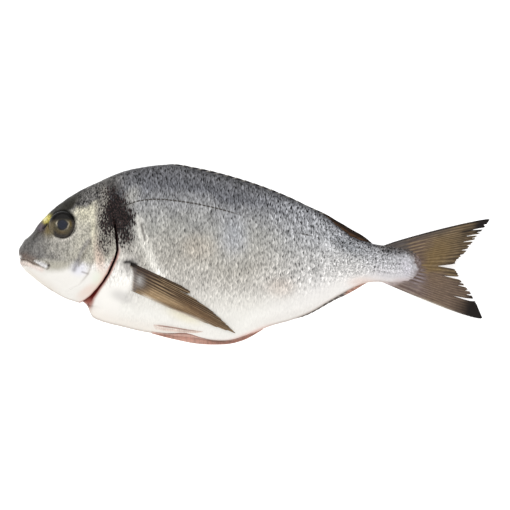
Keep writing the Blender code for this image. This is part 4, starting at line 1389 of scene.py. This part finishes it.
# The pectoral fins: long and pointed, folded back along both flanks from a fleshy root in the
# shoulder. Ten rays each, with dark leading edges, and a tear between the upper two tips.
PECTORAL_ROOT = [(0, 75.5, -4.4), (1, 75.5, -23.4)]
PECTORAL_TIPS = [
    (0, 111, -20.8), (0.07, 117.4, -24.8), (0.15, 115, -26.2), (0.2, 120, -29.6), (0.28, 132.6, -38.4),
    (0.42, 141.8, -47.2), (0.6, 146.9, -52.1), (0.7, 133.4, -47.8), (0.8, 119.3, -42.4), (0.9, 106, -37),
    (1, 94, -31.7),
]
PECTORAL_TEARS = [(0.165, 0.26, 0.024), (0.3, 0.05, 0.012), (0.42, 0.07, 0.012), (0.5, 0.04, 0.01)]
PECTORAL_RAYS = 10
PECTORAL_SWELL = 1.5
PECTORAL_CREASE = [(79.4, -9), (79.9, -16), (79.2, -23.5)]
FIN_CLEARANCE, UNDERSIDE_CLEARANCE = 0.08, 0.12


def pectoral_place(flank):
    def place(across, out, side):
        comb = 0.5 - 0.5 * np.cos(4 * math.pi * PECTORAL_RAYS * across)
        reach = out * torn(across, PECTORAL_TEARS) * (1 - 0.02 * comb * ease((out - 0.5) / 0.5))
        x, y = spread(PECTORAL_ROOT, PECTORAL_TIPS, across, reach)
        lift = 1.0 * ease((out - 0.6) / 0.4)
        thick = 1.15 * (0.6 + 0.4 * branched(across, out, PECTORAL_RAYS, 0.5, 1.4)) * (1 - 0.4 * out)
        thick = thick + PECTORAL_SWELL * (1 - ease(out / 0.2))
        thick = thick * (0.35 + 0.65 * np.minimum(1, 12 * np.minimum(across, 1 - across)))
        thick = mix(-0.5, lift + thick, ease(out / 0.1))
        points = flank_place(x, y, flank, np.where(side < 0, 1.5 * lift - 0.9, thick))
        clearance = np.where(side > 0, FIN_CLEARANCE, UNDERSIDE_CLEARANCE)
        points[:, 2] = np.maximum(points[:, 2], clearance)
        return points

    return place


def pectoral_paint(across, out, points):
    x, y = points[:, 0], points[:, 1]
    rib = branched(across, out, PECTORAL_RAYS, 0.5, 1.4)
    upper = 1 - ease((across - 0.46) / 0.2)
    paint = np.tile(tone(112, 92, 70), (len(x), 1))
    paint = lay(paint, tone(152, 130, 102), 0.85 * ease((rib - 0.5) / 0.45))
    paint = lay(paint, tone(84, 66, 50), 0.7 * (1 - ease(rib / 0.5)))
    paint = lay(paint, tone(34, 25, 19), 0.85 * (1 - ease(rib / 0.7)) * upper)
    paint = vary(paint, 0.14 * mottle(points, 5.0, 2, (0.5, 1, 1)))
    paint = lay_patches(paint, across, out, [
        (tone(186, 158, 122), 0.6, (0.74, 0.36), (0.26, 0.3), 0),
        (tone(126, 94, 66), 0.35, (0.5, 0.7), (0.3, 0.22), 0),
    ])
    paint = lay(paint, tone(52, 39, 29), 0.8 * (1 - ease((across - 0.02) / 0.1)))
    paint = lay(paint, tone(60, 46, 36), 0.4 * bell(across - 0.3, 0.08) * ease((out - 0.35) / 0.3))
    paint = lay_patches(paint, x, y, [
        (tone(66, 52, 47), 0.8, (85, -11.5), (8.5, 5.5), -28),
        (tone(92, 78, 68), 0.75, (85, -21), (5.5, 4.5), 0),
    ])
    fleshy = (1 - ease((x - 76.4 - 0.9 * bell(y + 15, 4)) / 2.6)) * ease((-6.5 - y) / 4)
    paint = lay(paint, tone(226, 223, 218), fleshy)
    paint = lay_lines(paint, x, y, [(tone(110, 103, 101), 0.8, PECTORAL_CREASE, 1.3)])
    paint = lay_patches(paint, x, y, [
        (tone(148, 144, 141), 0.85, (82.8, -17.6), (3.4, 4.6), 0),
        (tone(186, 184, 181), 0.5, (82.4, -17.0), (1.6, 2.6), 0),
    ])
    soft = np.maximum(ease((across - 0.8) / 0.18), ease((out - 0.7) / 0.3) * ease((across - 0.62) / 0.12))
    paint = lay(paint, tone(230, 220, 205), 0.8 * soft * (1 - ease((x - 112) / 24)) * ease((x - 82) / 6))
    # Painted shadow under the fin's upper edge at its root.
    return lay(paint, tone(20, 15, 14), bell(out - 0.04, 0.13) * (1 - ease((across - 0.06) / 0.14)))


pectoral_skin = fin_material("pectoral_fin_skin", PECTORAL_RAYS, 60.0, 0.05)
for fin_name, fin_flank in (("pectoral_fin_left", 1), ("pectoral_fin_right", -1)):
    fin_mesh, fin_across, fin_out = fin(fin_name, 18 * PECTORAL_RAYS, 70, pectoral_place(fin_flank))
    fin_colours = pectoral_paint(fin_across, fin_out, points_of(fin_mesh))
    finish_fin(fin_name, fin_mesh, fin_across, fin_out, fin_colours, pectoral_skin)

# The pelvic fins, folded back along the keel: one lies flat on the belly and shows little more
# than its upper edge, the other wraps the keel as a pink-brown band. Six rays each.
FLAT_PELVIC_TOP = [(89, -46.6), (99, -47.8), (116, -50.4), (129, -51.9)]
FLAT_PELVIC_FOOT = [(89, -49.6), (99, -51.4), (112, -52.6), (129, -52.5)]
KEEL_PELVIC_TOP = [
    (90, -51.8), (98, -53.1), (116, -53.2), (125, -56), (133, -57.8), (144.7, -57.4), (153.5, -54.6),
    (166, -49.2),
]
KEEL_PELVIC_FOOT = [
    (90, -53.2), (99, -55.7), (109, -58), (119.6, -60), (133, -60.8), (144.7, -60), (153.5, -57.4),
    (166, -50.4),
]
PELVIC_RAYS = 6
PELVIC_THICKNESS = 0.9


def between(top, foot, across, out):
    """A point between two lines, at a share of the way across and of the way along."""
    x = mix(top[0][0], top[-1][0], out)
    return x, mix(curve_through(top, x), curve_through(foot, x), across)


def flat_pelvic_place(across, out, side):
    x, y = between(FLAT_PELVIC_TOP, FLAT_PELVIC_FOOT, across, out)
    rib = branched(across, out, PELVIC_RAYS, 0.45, 1.4)
    thick = PELVIC_THICKNESS * (0.75 + 0.25 * rib) * mix(1, 0.25, ease(across))
    thick = mix(-0.3, thick, ease(8 * across) * ease(out / 0.2) * ease((1.02 - out) / 0.25))
    return flank_place(x, y, 1, np.where(side < 0, -1.2, thick))


def keel_pelvic_place(across, out, side):
    x, y = between(KEEL_PELVIC_TOP, KEEL_PELVIC_FOOT, across, out)
    level, _, below, half_width = section(x, BELLY)
    skin = half_width * np.sqrt(1 - np.clip((y - level) / below, -1, 0) ** 2) ** BELLY_LEAN
    rib = branched(across, out, PELVIC_RAYS, 0.45, 1.4)
    ends = ease(np.minimum(out, 1 - out) / 0.12)
    top = skin + PELVIC_THICKNESS * (0.4 + 0.4 * rib) * ends * ease(8 * across)
    top = np.maximum(top, mix(-1.0, -2.6, across) + 0.5 * rib)
    under = mix(top - 0.3, mix(-4.4, -3.4, across), ease(np.minimum(3 * out, 1 - out) / 0.3))
    return np.stack([x, y, middle_plane(x) + np.where(side > 0, top, under)], -1)


def pelvic_paint(across, out, points, base):
    rib = branched(across, out, PELVIC_RAYS, 0.45, 1.4)
    paint = lay(np.tile(base, (len(across), 1)), 0.82 * base, 0.5 * (1 - ease(rib / 0.6)))
    paint = lay(paint, tone(214, 168, 152), 0.4 * bell(across - 0.6, 0.2) * ease(out / 0.3))
    # A brown line along the fin's upper edge: its own edge colour and painted shadow between belly and fin.
    edge_line_and_shadow = 0.8 * bell(across - 0.06, 0.11) * ease(out / 0.2) * ease((1 - out) / 0.3)
    paint = lay(paint, tone(138, 98, 86), edge_line_and_shadow)
    return vary(paint, 0.1 * mottle(points, 4.0, 6))


pelvic_skin = fin_material("pelvic_fin_skin", PELVIC_RAYS, 26.0)
for fin_name, fin_place, fin_base in (
    ("pelvic_fin_flat", flat_pelvic_place, tone(238, 226, 216)),
    ("pelvic_fin_keel", keel_pelvic_place, tone(206, 168, 154)),
):
    fin_mesh, fin_across, fin_out = fin(fin_name, 12 * PELVIC_RAYS, 60, fin_place)
    fin_colours = pelvic_paint(fin_across, fin_out, points_of(fin_mesh), fin_base)
    finish_fin(fin_name, fin_mesh, fin_across, fin_out, fin_colours, pelvic_skin)

# The dorsal and anal fins, folded into their grooves: low ridges of bony spines and rays
# laid back over each other with dark skin between them. The soft rear ends stand out furthest.
DORSAL_FIN = [
    (98, 0.0), (104, 0.8), (120, 1.2), (150, 1.3), (185, 1.2), (202, 1.0), (213, 2.4), (222, 4.2),
    (231, 3.8), (236, 2.2), (240, 0.0),
]
ANAL_FIN = [(186, 0.0), (192, 0.9), (206, 1.2), (216, 1.6), (224, 2.0), (230, 1.5), (236, 0.0)]
FOLDED_HALF_THICKNESS = 1.7
FOLDED_ROOT_DEPTH = 2.2
SPINE_LEAN = 1.6


def folded_rib(across, out, spines):
    """Spines lean back, so each one's rib runs over the feet of the next."""
    return 0.5 + 0.5 * np.cos(2 * math.pi * (spines * across - SPINE_LEAN * out))


def folded_place(outline, heights, outward, spines, soft_start):
    first, last = heights[0][0], heights[-1][0]

    def place(across, out, side):
        x = mix(first, last, across)
        tooth = 1 - (spines * across - SPINE_LEAN + 0.25) % 1
        ragged = 0.3 * (1 - ease((across - soft_start + 0.08) / 0.06))
        stand = np.maximum(curve_through(heights, x), 0) * (1 - ragged + ragged * tooth)
        y = curve_through(outline, x) + outward * mix(-FOLDED_ROOT_DEPTH, stand, out)
        half = FOLDED_HALF_THICKNESS * mix(1, 0.3, out) * (0.55 + 0.45 * folded_rib(across, out, spines))
        half = half * np.minimum(1, 0.2 + 8 * np.minimum(across, 1 - across))
        return np.stack([x, y, middle_plane(x) + side * half], -1)

    return place


def folded_paint(across, out, points, spines, dark, soft, soft_start, dark_edge):
    rib = folded_rib(across, out, spines)
    paint = lay(np.tile(dark, (len(across), 1)), tone(150, 146, 140), 0.8 * ease((rib - 0.6) / 0.3))
    rear = ease((across - soft_start) / 0.08)
    brown = lay(np.tile(soft, (len(across), 1)), 0.55 * soft, 0.8 * (1 - ease(rib / 0.6)))
    paint = paint + (brown - paint) * rear[:, None]
    paint = lay(paint, 0.16 * soft, 0.92 * rear * ease((out - 0.5) / 0.16) * dark_edge)
    return vary(paint, 0.12 * mottle(points, 3.0, 8))


# Each fin: outline, heights, way out, spines, start of the soft end, skin, soft skin, dark edge
FOLDED_FINS = {
    "dorsal_fin": (BACK, DORSAL_FIN, 1, 24, 0.74, tone(44, 42, 44), tone(72, 50, 32), 1.0),
    "anal_fin": (BELLY, ANAL_FIN, -1, 13, 0.68, tone(98, 90, 86), tone(206, 160, 142), 0.3),
}
folded_skin = fin_material("folded_fin_skin", 24, 12.0)
for fin_name, fin_values in FOLDED_FINS.items():
    outline, heights, outward, spines, soft_start, dark, soft, dark_edge = fin_values
    folded = folded_place(outline, heights, outward, spines, soft_start)
    fin_mesh, fin_across, fin_out = fin(fin_name, 12 * spines, 12, folded)
    fin_points = points_of(fin_mesh)
    fin_colours = folded_paint(fin_across, fin_out, fin_points, spines, dark, soft, soft_start, dark_edge)
    finish_fin(fin_name, fin_mesh, fin_across, fin_out, fin_colours, folded_skin)
